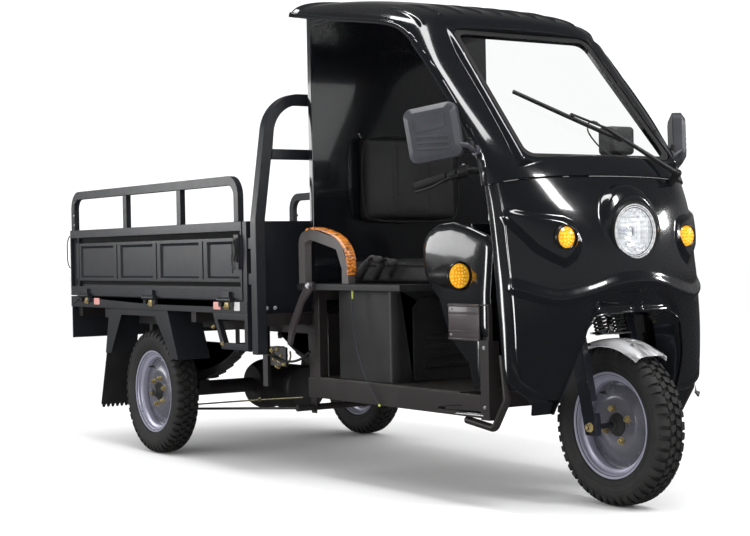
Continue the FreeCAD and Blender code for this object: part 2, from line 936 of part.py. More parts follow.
def drop_side():
    """Right drop side: pressed board, tube rail with four posts, latch box and hinge barrels."""
    face = -bed_half_width
    span = side_front - side_rear
    board = box((side_rear, side_front), (face, face + side_gauge), (side_base, side_top))
    ribs = [side_rear + span * share for share in side_rib_shares]
    board = pressed_side(board, "x", side_rear + channel_inset, side_front - bay_rim, ribs, face, 1)
    rear_channel = box((side_rear + bay_rim, side_rear + channel_inset - bay_rim),
                       (face - 1, face + channel_depth),
                       (side_base + side_rim_low, side_top - side_rim_high))
    board = board.cut(rear_channel)
    y = face + side_gauge / 2
    rear = side_rear + rail_rear_inset
    front = side_front - rail_front_inset
    level = rail_top - rail_side / 2
    rail = bent_bar([(rear, y, side_top - 1), (rear, y, level), (front, y, level),
                     (front, y, side_top - 1)],
                    rail_side, side_gauge - 4, rail_corner, (0, 1, 0))
    pieces = [board, rail]
    for share in rail_post_shares:
        x = rear + (front - rear) * share
        pieces.append(box((x - rail_side / 2, x + rail_side / 2),
                          (y - side_gauge / 2 + 3, y + side_gauge / 2 - 3),
                          (side_top - 1, level)))
    latch_x = side_front - latch_inset
    pieces.append(box((latch_x - latch_width, latch_x), (face - latch_depth, face + 1),
                      (latch_low, latch_high)))
    pieces += hinge_knuckles(side_hinge_stations(), True)
    return join(pieces)


def tailgate():
    """Rear board between the side boards, hinged at its lower edge."""
    half = bed_half_width - side_gauge - play
    board = box((bed_rear, bed_rear + side_gauge), (-half, half), (side_base, side_top))
    ribs = [half * share for share in tail_rib_shares]
    board = pressed_side(board, "y", -half + bay_rim, half - bay_rim, ribs, bed_rear, 1)
    return join([board] + hinge_knuckles(tail_hinge_stations(), False))


def headboard_hoop():
    """Square tube hoop behind the cab with a cross bar, down to the frame."""
    top = hoop_top - hoop_side / 2
    foot_y = bed_half_width - hoop_side / 2
    head_y = foot_y - hoop_lean
    outline = [(hoop_station, -foot_y, hoop_foot), (hoop_station, -foot_y, side_top),
               (hoop_station, -head_y, top), (hoop_station, head_y, top),
               (hoop_station, foot_y, side_top), (hoop_station, foot_y, hoop_foot)]
    hoop = bent_bar(outline, hoop_side, hoop_side, hoop_corner, (1, 0, 0))
    level = hoop_top - hoop_bar_drop
    half = bar_half_width(level)
    bar = box((hoop_station - hoop_bar_side / 2, hoop_station + hoop_bar_side / 2), (-half, half),
              (level - hoop_bar_side / 2, level + hoop_bar_side / 2))
    return join([hoop, bar])


def bar_half_width(height):
    """Half width of the hoop's centre line at a height on its leaning legs."""
    foot_y = bed_half_width - hoop_side / 2
    share = (height - side_top) / (hoop_top - side_top)
    return foot_y - hoop_lean * share


def rear_fender(side):
    """Bent sheet over one rear wheel with two tapered cheeks, hung from the bed frame."""
    inner = fender_inner
    outer = bed_half_width - fender_inset
    top = bed_sill_bottom - gap
    foot = fender_foot
    g = fender_sheet
    arch = prism([(fender_rear_top, top), (fender_rear_foot, foot), (fender_rear_foot + g, foot),
                  (fender_rear_top + g, top - g),
                  (fender_front_top - g, top - g), (fender_front_foot - g, foot), (fender_front_foot, foot),
                  (fender_front_top, top)], "y", inner, outer)
    rear_cheek = prism([(fender_rear_top, top), (fender_rear_foot, foot),
                        (fender_rear_foot + cheek_foot, foot),
                        (fender_rear_top + cheek_top, top - g), (fender_rear_top + cheek_top, top)],
                       "y", outer - g, outer)
    front_cheek = prism([(fender_front_top, top), (fender_front_foot, foot),
                         (fender_front_foot - cheek_foot, foot),
                         (fender_front_top - cheek_top, top - g), (fender_front_top - cheek_top, top)],
                        "y", outer - g, outer)
    lip = box((fender_rear_top, fender_front_top), (outer - g, outer), (top - cheek_lip, top))
    shape = join([arch, rear_cheek, front_cheek, lip])
    return shape if side > 0 else mirrored(shape)


def mud_flap(side):
    """Rubber flap behind one rear wheel with a toothed lower edge."""
    low = fender_inner + flap_inset
    high = bed_half_width - fender_inset - flap_inset
    pitch = (high - low) / flap_teeth
    bottom = []
    for i in range(flap_teeth):
        start = low + i * pitch
        bottom += [(start, flap_low + tooth_height), (start + pitch * 0.25, flap_low),
                   (start + pitch * 0.6, flap_low),
                   (start + pitch * 0.85, flap_low + tooth_height)]
    outline = bottom + [(high, flap_low + tooth_height), (high, fender_foot), (low, fender_foot)]
    flap = prism(outline, "x", fender_rear_foot - flap_gauge - gap, fender_rear_foot - gap)
    flap.rotate(V(fender_rear_foot - gap, 0, fender_foot), V(0, 1, 0), flap_lean)
    return flap if side > 0 else mirrored(flap)


def side_guard(side):
    """Open pressed frame under the bed's edge, before the rear wheel."""
    outer = side * (bed_half_width - guard_inset)
    inner = side * (bed_half_width - guard_inset - guard_depth)
    top = bed_sill_bottom - gap
    frame = prism([(guard_rear, top), (guard_rear_foot, guard_foot), (guard_front, guard_foot),
                   (guard_front, top)],
                  "y", *sorted((inner, outer)))
    w = guard_rim
    slope = (guard_rear_foot - guard_rear) / (top - guard_foot)
    hole = prism([(guard_rear + w * (1 + slope), top - w),
                  (guard_rear_foot + w * (1 - slope / 2), guard_foot + w),
                  (guard_front - w, guard_foot + w),
                  (guard_front - w, top - w)], "y", *sorted((inner - side, outer + side)))
    return frame.cut(hole)


def rear_valance():
    """Plate across the tail under the bed that carries the lamps."""
    start = bed_rear + 4
    return box((start, start + valance_gauge), (-bed_half_width + 2, bed_half_width - 2),
               (valance_bottom, bed_sill_bottom - gap))


def tail_lamp(side):
    """Rear lamp cluster."""
    x = bed_rear + 4 - gap
    y = side * tail_lamp_y
    block = box((x - tail_lamp_depth, x), (y - tail_lamp_half, y + tail_lamp_half),
                (tail_lamp_low, tail_lamp_high))
    return block.makeChamfer(tail_lamp_depth / 3, block.Edges)


def drive_motor():
    """Traction motor on the final drive's nose, with end caps."""
    body = rod((motor_start + gap, 0, axle_height), (motor_end, 0, axle_height), motor_radius)
    ends = [e for e in body.Edges if e.Length > motor_radius * 6]
    return body.makeChamfer(8, ends)


def brake_linkage():
    """Rods from the pedal shaft to the rear drums."""
    pieces = []
    for side in (-1, 1):
        y = side * brake_rod_y
        plate = side * (rear_wheel_y - hub_width / 2 - 1 - backplate_gauge - gap)
        pieces.append(rod((brake_arm_x, y, brake_arm_z), (brake_shaft_x, y, brake_shaft_height), 5))
        pieces.append(rod((brake_arm_x, y - side * brake_shaft_radius, brake_arm_z),
                          (brake_arm_x, plate, brake_arm_z), 9))
    reach = brake_rod_y + brake_shaft_radius
    pieces.append(rod((brake_shaft_x, -reach, brake_shaft_height),
                      (brake_shaft_x, reach, brake_shaft_height),
                      brake_shaft_radius))
    return join(pieces)


def cab_frame():
    """Sills, cross members, uprights, seat rail, backbone and steering head."""
    top = sill_bottom + sill_height
    low = sill_bottom + 12
    inner = sill_half_width - 2
    rail_top_z = seat_base - seat_board - gap
    pieces = []
    for side in (-1, 1):
        y = side * (sill_half_width - sill_width / 2)
        pieces.append(box((sill_rear, sill_front), (y - sill_width / 2, y + sill_width / 2),
                          (sill_bottom, top)))
        pieces.append(box((upright_x, upright_x + upright_depth), (y - sill_width / 2, y + sill_width / 2),
                          (top - 1, rail_top_z)))
        step_y = side * spring_y
        pieces.append(box((sill_rear, sill_rear + 2 * member_half),
                          (step_y - member_half, step_y + member_half),
                          (low, bed_sill_bottom - subframe_height - gap)))
    for x in (sill_rear + member_half, *floor_members, floor_front - member_half, backbone_foot):
        pieces.append(box((x - member_half, x + member_half), (-inner, inner), (low, top)))
    pieces.append(box((upright_x, upright_x + upright_depth), (-inner, inner),
                      (rail_top_z - seat_rail_height, rail_top_z)))
    pieces.append(bent_rod([(steer_x(backbone_head), 0, backbone_head), (backbone_foot, 0, backbone_knee),
                            (backbone_foot, 0, low + 8)], backbone_radius, backbone_bend))
    pieces.append(rod((steer_x(head_low), 0, head_low), (steer_x(head_high), 0, head_high),
                      head_tube_radius))
    beyond = 2 * head_tube_radius
    bore = rod((steer_x(head_low - beyond), 0, head_low - beyond),
               (steer_x(head_high + beyond), 0, head_high + beyond),
               stem_radius + gap)
    return join(pieces).cut(bore)


def floor_plate():
    """Cab floor sheet from behind the seat box to the leg shield."""
    z = sill_bottom + sill_height
    sheet = box((floor_rear, floor_front), (-sill_half_width, sill_half_width), (z + gap, z + floor_gauge))
    inner = sill_half_width - sill_width - gap
    for side in (-1, 1):
        sheet = sheet.cut(box((upright_x - gap, upright_x + upright_depth + gap),
                              sorted((side * inner, side * (sill_half_width + 1))),
                              (z - 1, z + floor_gauge + 1)))
    return sheet.cut(rod((backbone_foot, 0, z - 1), (backbone_foot, 0, z + floor_gauge + 1),
                         backbone_radius + gap))


def battery_block():
    """Traction battery as one plain mass under the seat."""
    return box((box_rear + 2 * box_wall, box_front - 4 * box_wall),
               (-battery_half_width, battery_half_width),
               (floor_top + gap, floor_top + battery_height))


def seat_box():
    """Moulded box under the seat: open behind, with a ribbed front cover and the seat board."""
    low = floor_top + gap
    top = seat_base - seat_board
    outer = box((box_rear, box_front), (-box_half_width, box_half_width), (low, top))
    upright = [e for e in outer.Edges if abs(e.Vertexes[0].Z - e.Vertexes[-1].Z) > seat_board]
    corners = [e for e in upright if e.Vertexes[0].X > box_rear + 1]
    outer = outer.makeFillet(3 * box_wall, corners)
    inner = box((box_rear - 1, box_front - box_wall),
                (-box_half_width + box_wall, box_half_width - box_wall),
                (low - 1, top - box_wall))
    shell = outer.cut(inner)
    pieces = [shell]
    wide, narrow = cover_rib_half + cover_border, cover_rib_half + box_wall
    shoulder, crest = top - cover_shoulder, top - cover_crest
    cover = prism([(-wide, low + 1), (wide, low + 1), (wide, shoulder), (narrow, crest), (-narrow, crest),
                   (-wide, shoulder)], "x", box_front - 1, box_front + box_wall / 2)
    pieces.append(cover)
    for i in range(cover_ribs):
        z = low + cover_rib_low + i * cover_rib_pitch
        pieces.append(box((box_front + 4, box_front + box_wall + 1), (-cover_rib_half, cover_rib_half),
                          (z, z + cover_rib_height)))
    pieces.append(box((board_rear, seat_front - box_wall), (-board_half_width, board_half_width),
                      (top, seat_base)))
    slot = box((wall_station - wall_gauge / 2 - gap, wall_station + wall_gauge / 2 + gap),
               (-wall_half_width - gap, wall_half_width + gap), (top - 1, seat_base + 1))
    level = seat_base - seat_board / 2
    pieces.append(rod((lever_pivot, -board_half_width + 5, level),
                      (lever_pivot, -board_half_width - lever_stand, level), lever_pin))
    return join(pieces).cut(slot)


def seat_cushion():
    """Bench cushion with rounded edges."""
    low = seat_base + gap
    block = box((seat_rear, seat_front), (-seat_half_width, seat_half_width), (low, low + seat_thickness))
    return block.makeFillet(seat_edge, block.Edges)


def seat_back():
    """Upright back cushion on the cab's rear wall."""
    x = wall_station + wall_gauge / 2 + gap
    block = box((x, x + backrest_thickness), (-backrest_half_width, backrest_half_width),
                (backrest_low, backrest_high))
    return block.makeFillet(backrest_edge, block.Edges)


def armrest(side):
    """Loop armrest standing on the seat board."""
    y = side * (board_half_width - arm_width / 2)
    low = seat_base + gap
    points = [(arm_rear, y, low), (arm_rear, y, arm_high - arm_gauge / 2),
              (arm_rear + 2 * arm_gauge, y, arm_high),
              (arm_front - arm_width, y, arm_high - arm_width), (arm_front, y, arm_high - 3 * arm_width),
              (arm_front, y, low)]
    return bent_bar(points, arm_width, arm_gauge, arm_gauge, (0, 1, 0))


def parking_brake():
    """Cranked hand lever beside the seat board."""
    y = -(board_half_width + gap)
    level = seat_base - seat_board / 2
    bar = prism(lever_outline, "y", y - lever_gauge, y)
    return bar.cut(rod((lever_pivot, y + 1, level), (lever_pivot, y - lever_gauge - 1, level),
                       lever_pin + gap))


def back_wall():
    """Rear wall of the cab with an arched recess behind the driver."""
    half = wall_half_width
    low_x = wall_station - wall_gauge / 2
    high_x = wall_station + wall_gauge / 2
    wall = box((low_x, high_x), (-half, half), (bed_sill_bottom + gap, shell_ribs[0][1])).cut(above_roof())
    arch = Part.makeCylinder(recess_half_width, recess_depth + 1,
                             V(high_x - recess_depth, 0, recess_spring),
                             V(1, 0, 0))
    lower = box((high_x - recess_depth, high_x + 1), (-recess_half_width, recess_half_width),
                (backrest_high + backrest_edge, recess_spring))
    return wall.cut(arch.fuse(lower))


def shell_row(t):
    """Profile values at any place between two stations, on a smooth curve through all."""
    last = len(shell_ribs) - 1
    i = min(int(t), last - 1)
    f = t - i
    here, ahead = shell_ribs[i], shell_ribs[i + 1]
    back = shell_ribs[i - 1] if i else [2 * p - q for p, q in zip(here, ahead)]
    beyond = shell_ribs[i + 2] if i + 2 <= last else [2 * q - p for p, q in zip(here, ahead)]
    row = []
    for p0, p1, p2, p3 in zip(back, here, ahead, beyond):
        row.append(p1 + (p2 - p0) * f / 2 + (2 * p0 - 5 * p1 + 4 * p2 - p3) * f ** 2 / 2
                   + (3 * p1 - p0 - 3 * p2 + p3) * f ** 3 / 2)
    return row


def shell_base(turn, t):
    """Point of the plain shell; turn runs from the right door edge over to the left one."""
    cx, cz, ex, ez, half, square = shell_row(t)
    rise = (math.sin(turn) + square * math.sin(3 * turn)) / (1 - square)
    return V(ex + (cx - ex) * rise, -half * math.cos(turn), ez + (cz - ez) * rise)


def shell_normal(turn, t):
    """Direction straight out of the plain shell."""
    step = 0.01
    turn = min(math.pi - step, max(step, turn))
    t = min(foot_row - step, max(step, t))
    across = shell_base(turn + step, t) - shell_base(turn - step, t)
    along = shell_base(turn, t + step) - shell_base(turn, t - step)
    return along.cross(across).normalize()


def curve_poles(points, stations):
    """Poles of the smooth curve through points at given stations."""
    curve = Part.BSplineCurve()
    curve.interpolate(Points=points, Parameters=stations)
    return curve


def shell_face(low, high, columns, rows, place):
    """Smooth surface through a grid of points of the shell."""
    across = [j / columns for j in range(columns + 1)]
    down = [i / rows for i in range(rows + 1)]
    lines = []
    for share in down:
        t = low + (high - low) * share
        lines.append(curve_poles([place(math.pi * j, t) for j in across], across))
    sample = lines[0]
    strips = [curve_poles(list(column), down) for column in zip(*(line.getPoles() for line in lines))]
    poles = [list(line) for line in zip(*(strip.getPoles() for strip in strips))]
    surface = Part.BSplineSurface()
    surface.buildFromPolesMultsKnots(poles, strips[0].getMultiplicities(), sample.getMultiplicities(),
                                     strips[0].getKnots(), sample.getKnots(), False, False, 3, 3)
    return surface


def shell_solid(low, high, out, depth, left=0, right=math.pi):
    """Solid that follows the shell between two offsets from its plain outer face."""
    reach = (right - left) / math.pi
    columns = max(4, round(shell_columns * reach))
    rows = max(3, round((high - low) * shell_rows_each))

    def offset(by):
        return shell_face(low, high, columns, rows, lambda share, t: shell_base(left + share * reach, t)
                          + shell_normal(left + share * reach, t) * by)

    outer, inner = offset(out), offset(-depth)
    faces = [outer.toShape(), inner.toShape()]
    u0, u1, v0, v1 = outer.bounds()
    for a, b in ((outer.uIso(u0), inner.uIso(u0)), (outer.uIso(u1), inner.uIso(u1)),
                 (outer.vIso(v0), inner.vIso(v0)), (outer.vIso(v1), inner.vIso(v1))):
        faces.append(Part.makeRuledSurface(a.toShape(), b.toShape()))
    skin = Part.makeCompound(faces)
    skin.sewShape()
    return Part.makeSolid(skin.Shells[0])


def fore_prism(outline, grow, side=1):
    """Outline in half width and height run along the vehicle, grown by a margin."""
    corners = [V(0, side * a, z) for a, z in outline]
    wire = Part.makePolygon(corners + corners[:1])
    if grow:
        wire = wire.makeOffset2D(grow, 2)
    face = Part.Face(wire)
    face.translate(V(fore_from, 0, 0))
    return face.extrude(V(fore_run, 0, 0))


def whole(outline):
    """Closed outline over both sides from the half one that starts and ends at the middle."""
    return outline + [(-a, z) for a, z in outline[::-1]]


def recessed(body, regions, low, high, depth):
    """Shell with regions set back by a depth and its wall kept whole behind them."""
    back = shell_solid(low, high, -1, depth + shell_gauge)
    cut = shell_solid(low - 0.1 * (low > 1), min(foot_row, high + 0.1), shell_gauge, depth)
    for region in regions:
        body = body.fuse(back.common(region(shell_gauge - 2)))
    for region in regions:
        body = body.cut(cut.common(region(0)))
    return body


def crease_band(height, side):
    """Strip of the nose over the crease line."""
    line = [p for p in crease_line if p[0] <= crease_end]
    return [(side * a, z) for a, z in line] + [(side * a, z + height) for a, z in line[::-1]]


def behind_nose(depth):
    """Room behind the middle of the nose shell's wall, so far back."""
    face = shell_face(cowl_row, foot_row, shell_columns, shell_columns,
                      lambda turn, t: shell_base(turn, t) - shell_normal(turn, t) * shell_gauge / 2)
    return face.toShape().extrude(V(-depth, 0, 0))


def arch_funnel(grow):
    """Funnel of the wheel arch, wider at the front, grown by a wall."""
    wires = []
    for x, table in ((fore_from + fore_run, arch_front), (arch_front_x, arch_front),
                     (arch_rear_x, arch_rear),
                     (fore_from, arch_rear)):
        lifted = [(a + grow, z + grow * (z > arch_shoulder)) for a, z in table]
        corners = [V(x, -a, z) for a, z in lifted[::-1]] + [V(x, a, z) for a, z in lifted]
        wires.append(Part.makePolygon(corners + corners[:1]))
    return Part.makeLoft(wires, True, True)


def slot_outline(near, far, low, high):
    """Slot with round ends."""
    radius = (high - low) / 2
    middle = (high + low) / 2
    points = []
    for end, start in ((far - radius, -90), (near + radius, 90)):
        for i in range(slot_steps + 1):
            turn = math.radians(start + 180 * i / slot_steps)
            points.append((end + radius * math.cos(turn), middle + radius * math.sin(turn)))
    return points


def lamp_hood():
    """Hood that rises from the nose to the headlamp's bezel."""
    rings = []
    for x, radius, z in ((hood_back, hood_radius, hood_centre),
                         (hood_face, headlamp_radius + 6, headlamp_height)):
        rings.append(Part.Wire(Part.makeCircle(radius, V(x, 0, z), V(1, 0, 0))))
    return Part.makeLoft(rings, True, True).cut(behind_nose(hood_radius))


def front_fairing():
    """Nose shell: lamp pods, hood, crease, visor panel, edge bead and funnel-shaped wheel arch."""
    low = cowl_row + shell_seam / 2
    body = shell_solid(low, foot_row, 0, shell_gauge)
    raised = shell_solid(low + 1, foot_row - 1, pod_lift, 1)
    half_raised = shell_solid(low + 1, foot_row - 1, pod_lift / 2, 1)
    ridge = shell_solid(low + 1, foot_row - 1, crease_lift, 1)
    soft_ridge = shell_solid(low + 1, foot_row - 1, crease_lift / 2, 1)
    pieces = []
    for side in (-1, 1):
        pieces.append(half_raised.common(fore_prism(pod_outline, 0, side)))
        pieces.append(raised.common(fore_prism(pod_outline, -pod_edge, side)))
        pieces.append(ridge.common(fore_prism(crease_band(crease_ridge, side), 0)))
        pieces.append(soft_ridge.common(fore_prism(crease_band(crease_above, side), 0)))
    pieces.append(lamp_hood())
    body = body.multiFuse(pieces)
    body = recessed(body, [lambda grow: fore_prism(whole(visor_outline)[:-1], grow)], low + 3, foot_row,
                    visor_depth)
    inset = shell_solid(low + 8, foot_row - lip_over, -apron_depth, apron_depth + shell_gauge, lip_over,
                        math.pi - lip_over)
    thick = shell_solid(low + 8, foot_row - lip_over, -0.5, apron_depth + shell_gauge, lip_over,
                        math.pi - lip_over)
    for side in (-1, 1):
        body = body.cut(fore_prism(corner_outline, 0, side))
        region = fore_prism(apron_outline, 0, side)
        edge = region.cut(fore_prism(apron_outline, -3, side))
        body = body.cut(region).multiFuse([inset.common(region), thick.common(edge)])
    pockets = shell_solid(low + 4, foot_row - 2, 0, visor_depth + pocket_depth)
    for side in (-1, 1):
        slot = [(a * side, z) for a, z in slot_outline(pocket_near, pocket_far, pocket_low, pocket_high)]
        body = body.cut(pockets.common(fore_prism(slot, 0)))
        lamp = V(fore_from, side * signal_y, signal_height)
        body = body.cut(Part.makeCylinder(signal_radius + gap, fore_run, lamp, V(1, 0, 0)))
    body = body.cut(Part.makeCylinder(headlamp_radius + gap, fore_run, V(fore_from, 0, headlamp_height),
                                      V(1, 0, 0)))
    arch = arch_funnel(0)
    wall = arch_funnel(arch_wall).cut(arch).common(behind_nose(arch_depth))
    return body.cut(arch).fuse(wall).removeSplitter()


def edge_lips(low, high):
    """Rolled lips along both door edges."""
    start = -lip_over
    lips = []
    for left, right in ((start, lip_turn), (math.pi - lip_turn, math.pi - start)):
        lips.append(shell_solid(low + lip_over, high - lip_over, lip_lift, 2, left, right))
    return lips


def glass_directions():
    """Direction up the windshield's slope and straight out of its face."""
    up = V(glass_high_x - glass_low_x, 0, glass_high - glass_low).normalize()
    return up, V(up.z, 0, -up.x)


def glass_outline(margin):
    """Corners of the windshield grown by a margin in its own plane."""
    return [(-glass_low_half - margin, -margin), (glass_low_half + margin, -margin),
            (glass_high_half + margin, glass_run() + margin),
            (-glass_high_half - margin, glass_run() + margin)]


def glass_run():
    """Length of the windshield up its slope."""
    return math.hypot(glass_low_x - glass_high_x, glass_high - glass_low)


def glass_slab(margin, ahead, behind, bend):
    """Slab over the windshield outline, between two distances from its face."""
    up, out = glass_directions()
    foot = V(glass_low_x, 0, glass_low)
    points = [foot + V(0, y, 0) + up * s + out * ahead for y, s in glass_outline(margin)]
    slab = Part.Face(Part.makePolygon(points + points[:1])).extrude(out * (behind - ahead))
    upright = [e for e in slab.Edges if abs((e.Vertexes[0].Point - e.Vertexes[-1].Point).dot(out)) > 1]
    return slab.makeFillet(bend, upright)


def windshield_frame():
    """Pillars and cowl around the windshield: flat rim on the glass plane, seat and recessed cowl."""
    low, high = brow_row + shell_seam / 2, cowl_row - shell_seam / 2
    body = shell_solid(low, high, 0, shell_gauge)
    behind = shell_face(low, high, shell_columns, shell_columns // 2,
                        lambda turn, t: shell_base(turn, t) - shell_normal(turn, t))
    behind = behind.toShape().extrude(glass_directions()[1] * -border_block)
    block = glass_slab(border_width + shell_gauge, border_block, -border_back, border_bend).common(behind)
    body = body.multiFuse([block, glass_slab(border_width, border_stand, -border_back,
                                             border_bend)] + edge_lips(low, high))
    body = body.cut(glass_slab(border_width, border_block, border_stand, border_bend))
    body = recessed(body, [lambda grow: fore_prism(whole(cowl_outline)[:-1], grow)], high - 3, high,
                    cowl_depth)
    body = body.cut(glass_slab(0, border_block, -border_block, glass_bend))
    return body.cut(glass_slab(glass_margin, border_block, 0,
                               glass_bend + glass_margin / 2)).removeSplitter()


def windshield():
    """Flat laminated glass."""
    return glass_slab(glass_rest, glass_gauge + gap, gap, glass_bend + 2)


def windshield_gasket():
    """Rubber frame round the glass, with a lip over its edge."""
    fit = glass_margin - 1
    over = 2 * gasket_stand
    outer = glass_slab(fit, gasket_stand, gap, glass_bend + fit / 2)
    inner = glass_slab(glass_rest + gap, over, -1, glass_bend + 2)
    lip = glass_slab(fit, gasket_stand, glass_gauge + 2 * gap,
                     glass_bend + fit / 2).cut(glass_slab(2, over, 0, glass_bend))
    return outer.cut(inner).fuse(lip).removeSplitter()


def roof_ridge(line, side):
    """Outline in plan of one ridge towards the brow, with pointed rear end."""
    near, far = line - ridge_half / 2, line + ridge_half / 2
    spread = 1 + ridge_fan
    return [(ridge_start, side * line), (ridge_start + ridge_taper, side * near),
            (ridge_end, side * near * spread),
            (ridge_end, side * far * spread), (ridge_start + ridge_taper, side * far)]


def cab_roof():
    """Domed roof shell with drip lips, a rolled rear edge and ridges towards the brow."""
    high = brow_row - shell_seam / 2
    body = shell_solid(0, high, 0, shell_gauge)
    layer = shell_solid(lip_over, high - lip_over, ridge_lift, 1)
    pieces = [shell_solid(lip_over, roll_rows, roll_lift, 2, lip_over,
                          math.pi - lip_over)] + edge_lips(0, high)
    for line in ridge_lines:
        for side in (-1, 1):
            pieces.append(prism(roof_ridge(line, side), "z", shell_ribs[cowl_row][1],
                                2 * shell_ribs[0][1]).common(layer))
    return body.multiFuse(pieces).removeSplitter()


def above_roof():
    """Everything over the inner face of the roof's rear part, with a small clearance."""
    face = shell_face(0, 2, shell_columns, 4,
                      lambda turn, t: shell_base(turn, t) - shell_normal(turn,
                                                                         t) * shell_gauge - V(0, 0, gap))
    return face.toShape().extrude(V(0, 0, 2 * hoop_corner))


def leg_shield():
    """Board before the driver's knees with a wing on either side, open over the front wheel."""
    outer = shield_half_width
    pieces = []
    for side in (-1, 1):
        wing = prism(wing_outline, "y", *sorted((side * (outer - shield_gauge), side * outer)))
        pad = prism(lamp_pad_outline, "y", *sorted((side * (outer - 1), side * (outer + pad_lift))))
        pieces += [wing, pad]
    inner = outer - shield_gauge / 2
    bow = [V(board_edge_x, -inner, shield_low), V(board_nose_x, 0, shield_low),
           V(board_edge_x, inner, shield_low)]
    back = [V(p.x - shield_gauge, p.y, p.z) for p in bow[::-1]]
    edges = [Part.Arc(*bow).toShape(), Part.LineSegment(bow[2], back[0]).toShape(),
             Part.Arc(*back).toShape(),
             Part.LineSegment(back[2], bow[0]).toShape()]
    board = Part.Face(Part.Wire(edges)).extrude(V(-board_lean, 0, shield_top - shield_low))
    tunnel = prism([(-tunnel_low_half, tunnel_foot), (tunnel_low_half, tunnel_foot),
                    (tunnel_low_half, tunnel_shoulder),
                    (tunnel_high_half, tunnel_top), (-tunnel_high_half, tunnel_top),
                    (-tunnel_low_half, tunnel_shoulder)],
                   "x", fore_from, fore_from + fore_run)
    return join(pieces + [board]).cut(tunnel)


def side_lamp(side):
    """Round amber lamp in a bowl on the wing of the leg shield."""
    y = side * side_lamp_y
    bowl = Part.makeCone(side_lamp_tail, side_lamp_radius, side_lamp_x - side_lamp_back,
                         V(side_lamp_back, y, side_lamp_height),
                         V(1, 0, 0))
    lens = Part.makeSphere(side_lamp_dome, V(side_lamp_x + side_lamp_bulge - side_lamp_dome, y,
                                             side_lamp_height))
    lens = lens.common(rod((side_lamp_x - 1, y, side_lamp_height),
                           (side_lamp_x + side_lamp_bulge, y, side_lamp_height),
                           side_lamp_radius - 3))
    face = side * (shield_half_width + pad_lift + gap)
    keep = box((side_lamp_back - 1, side_lamp_x + side_lamp_bulge + 1),
               sorted((face, side * (side_lamp_y + side_lamp_radius + 1))),
               (side_lamp_height - side_lamp_radius - 1, side_lamp_height + side_lamp_radius + 1))
    return join([bowl, lens]).common(keep)


def turned_ring(centre, radius, thickness):
    """Ring round a lamp's axis, with a many-sided section."""
    corners = []
    for i in range(ring_sides):
        turn = 2 * math.pi * i / ring_sides
        corners.append(centre + V(thickness * math.cos(turn), 0, radius + thickness * math.sin(turn)))
    return Part.Face(Part.makePolygon(corners + corners[:1])).revolve(centre, V(1, 0, 0), 360)


def headlamp():
    """Round headlamp: bowl behind, bezel ring and domed lens."""
    x = hood_face
    z = headlamp_height
    inner = headlamp_radius - bezel_radius - 2
    bowl = Part.makeCone(inner / 2, inner, bowl_depth, V(x - bowl_depth - bezel_radius, 0, z), V(1, 0, 0))
    neck = rod((x - bezel_radius - 1, 0, z), (x + 1, 0, z), inner)
    bezel = turned_ring(V(x, 0, z), headlamp_radius - bezel_radius, bezel_radius)
    lens = Part.makeSphere(lens_dome, V(x + lens_bulge - lens_dome, 0, z)).common(
        rod((x, 0, z), (x + lens_bulge, 0, z), inner))
    return join([bowl, neck, bezel, lens])


def turn_signal(side):
    """Round amber lamp in the nose."""
    y = side * signal_y
    start = signal_face - signal_depth
    body = rod((start, y, signal_height), (signal_face, y, signal_height), signal_radius - 2 * signal_ring)
    rim_ring = turned_ring(V(signal_face, y, signal_height), signal_radius - signal_ring, signal_ring)
    lens = Part.makeSphere(signal_dome, V(signal_face + signal_bulge - signal_dome, y,
                                          signal_height)).common(
        rod((signal_face - 2, y, signal_height), (signal_face + signal_bulge, y, signal_height),
            signal_radius - signal_ring))
    return join([body, rim_ring, lens])


def mirror(side):
    """Door mirror: rounded housing with a raised back plate, three ribs and a bent stalk."""
    w, h, d = mirror_width / 2, mirror_height / 2, mirror_depth / 2
    rings = []
    for x, share in ((-d, 1.0), (d / 3, 1.0), (d, mirror_front_share)):
        corners = [V(x, a * w * share, b * h * share) for a, b in ((-1, -1), (1, -1), (1, 1), (-1, 1))]
        ring_line = Part.makePolygon(corners + corners[:1]).makeOffset2D(-mirror_corner * share)
        rings.append(ring_line.makeOffset2D(mirror_corner * share))
    housing = Part.makeLoft(rings, True, True)
    plate = box((d - 1, d + mirror_relief), (-w * mirror_plate_share, w * mirror_plate_share),
                (h * mirror_plate_low, h * mirror_plate_high))
    pieces = [housing, plate]
    for i in range(mirror_ribs):
        low = -h * (mirror_rib_start - mirror_rib_step * i)
        rib = box((d - 1, d + mirror_relief), (-w * mirror_rib_share, w * mirror_rib_share),
                  (low, low + mirror_rib))
        rib.rotate(V(0, 0, low), V(1, 0, 0), -mirror_slant)
        pieces.append(rib)
    body = join(pieces)
    body.rotate(V(0, 0, 0), V(0, 0, 1), side * mirror_turn)
    body.translate(V(mirror_x, side * mirror_y, mirror_z))
    root = shell_ribs[mirror_row][4] + lip_lift + gap
    stalk = bent_rod([(stalk_x, side * root, stalk_z), (stalk_x, side * (root + stalk_out), stalk_z),
                      (mirror_x, side * mirror_y, mirror_z - h / 3)], stalk_radius, stalk_bend)
    foot = rod((stalk_x, side * root, stalk_z), (stalk_x, side * (root + stalk_foot), stalk_z),
               2 * stalk_radius)
    return join([body, stalk, foot])


def on_glass(y, up_slope, off):
    """Point beside the windshield: across, up its slope and off its face."""
    up, out = glass_directions()
    return V(glass_low_x, y, glass_low) + up * up_slope + out * off


def wiper_hub(clearance):
    """Spindle of the wiper through the cowl."""
    return rod(on_glass(wiper_pivot_y, -wiper_pivot_drop, -wiper_under),
               on_glass(wiper_pivot_y, -wiper_pivot_drop, wiper_over),
               wiper_spindle + clearance)


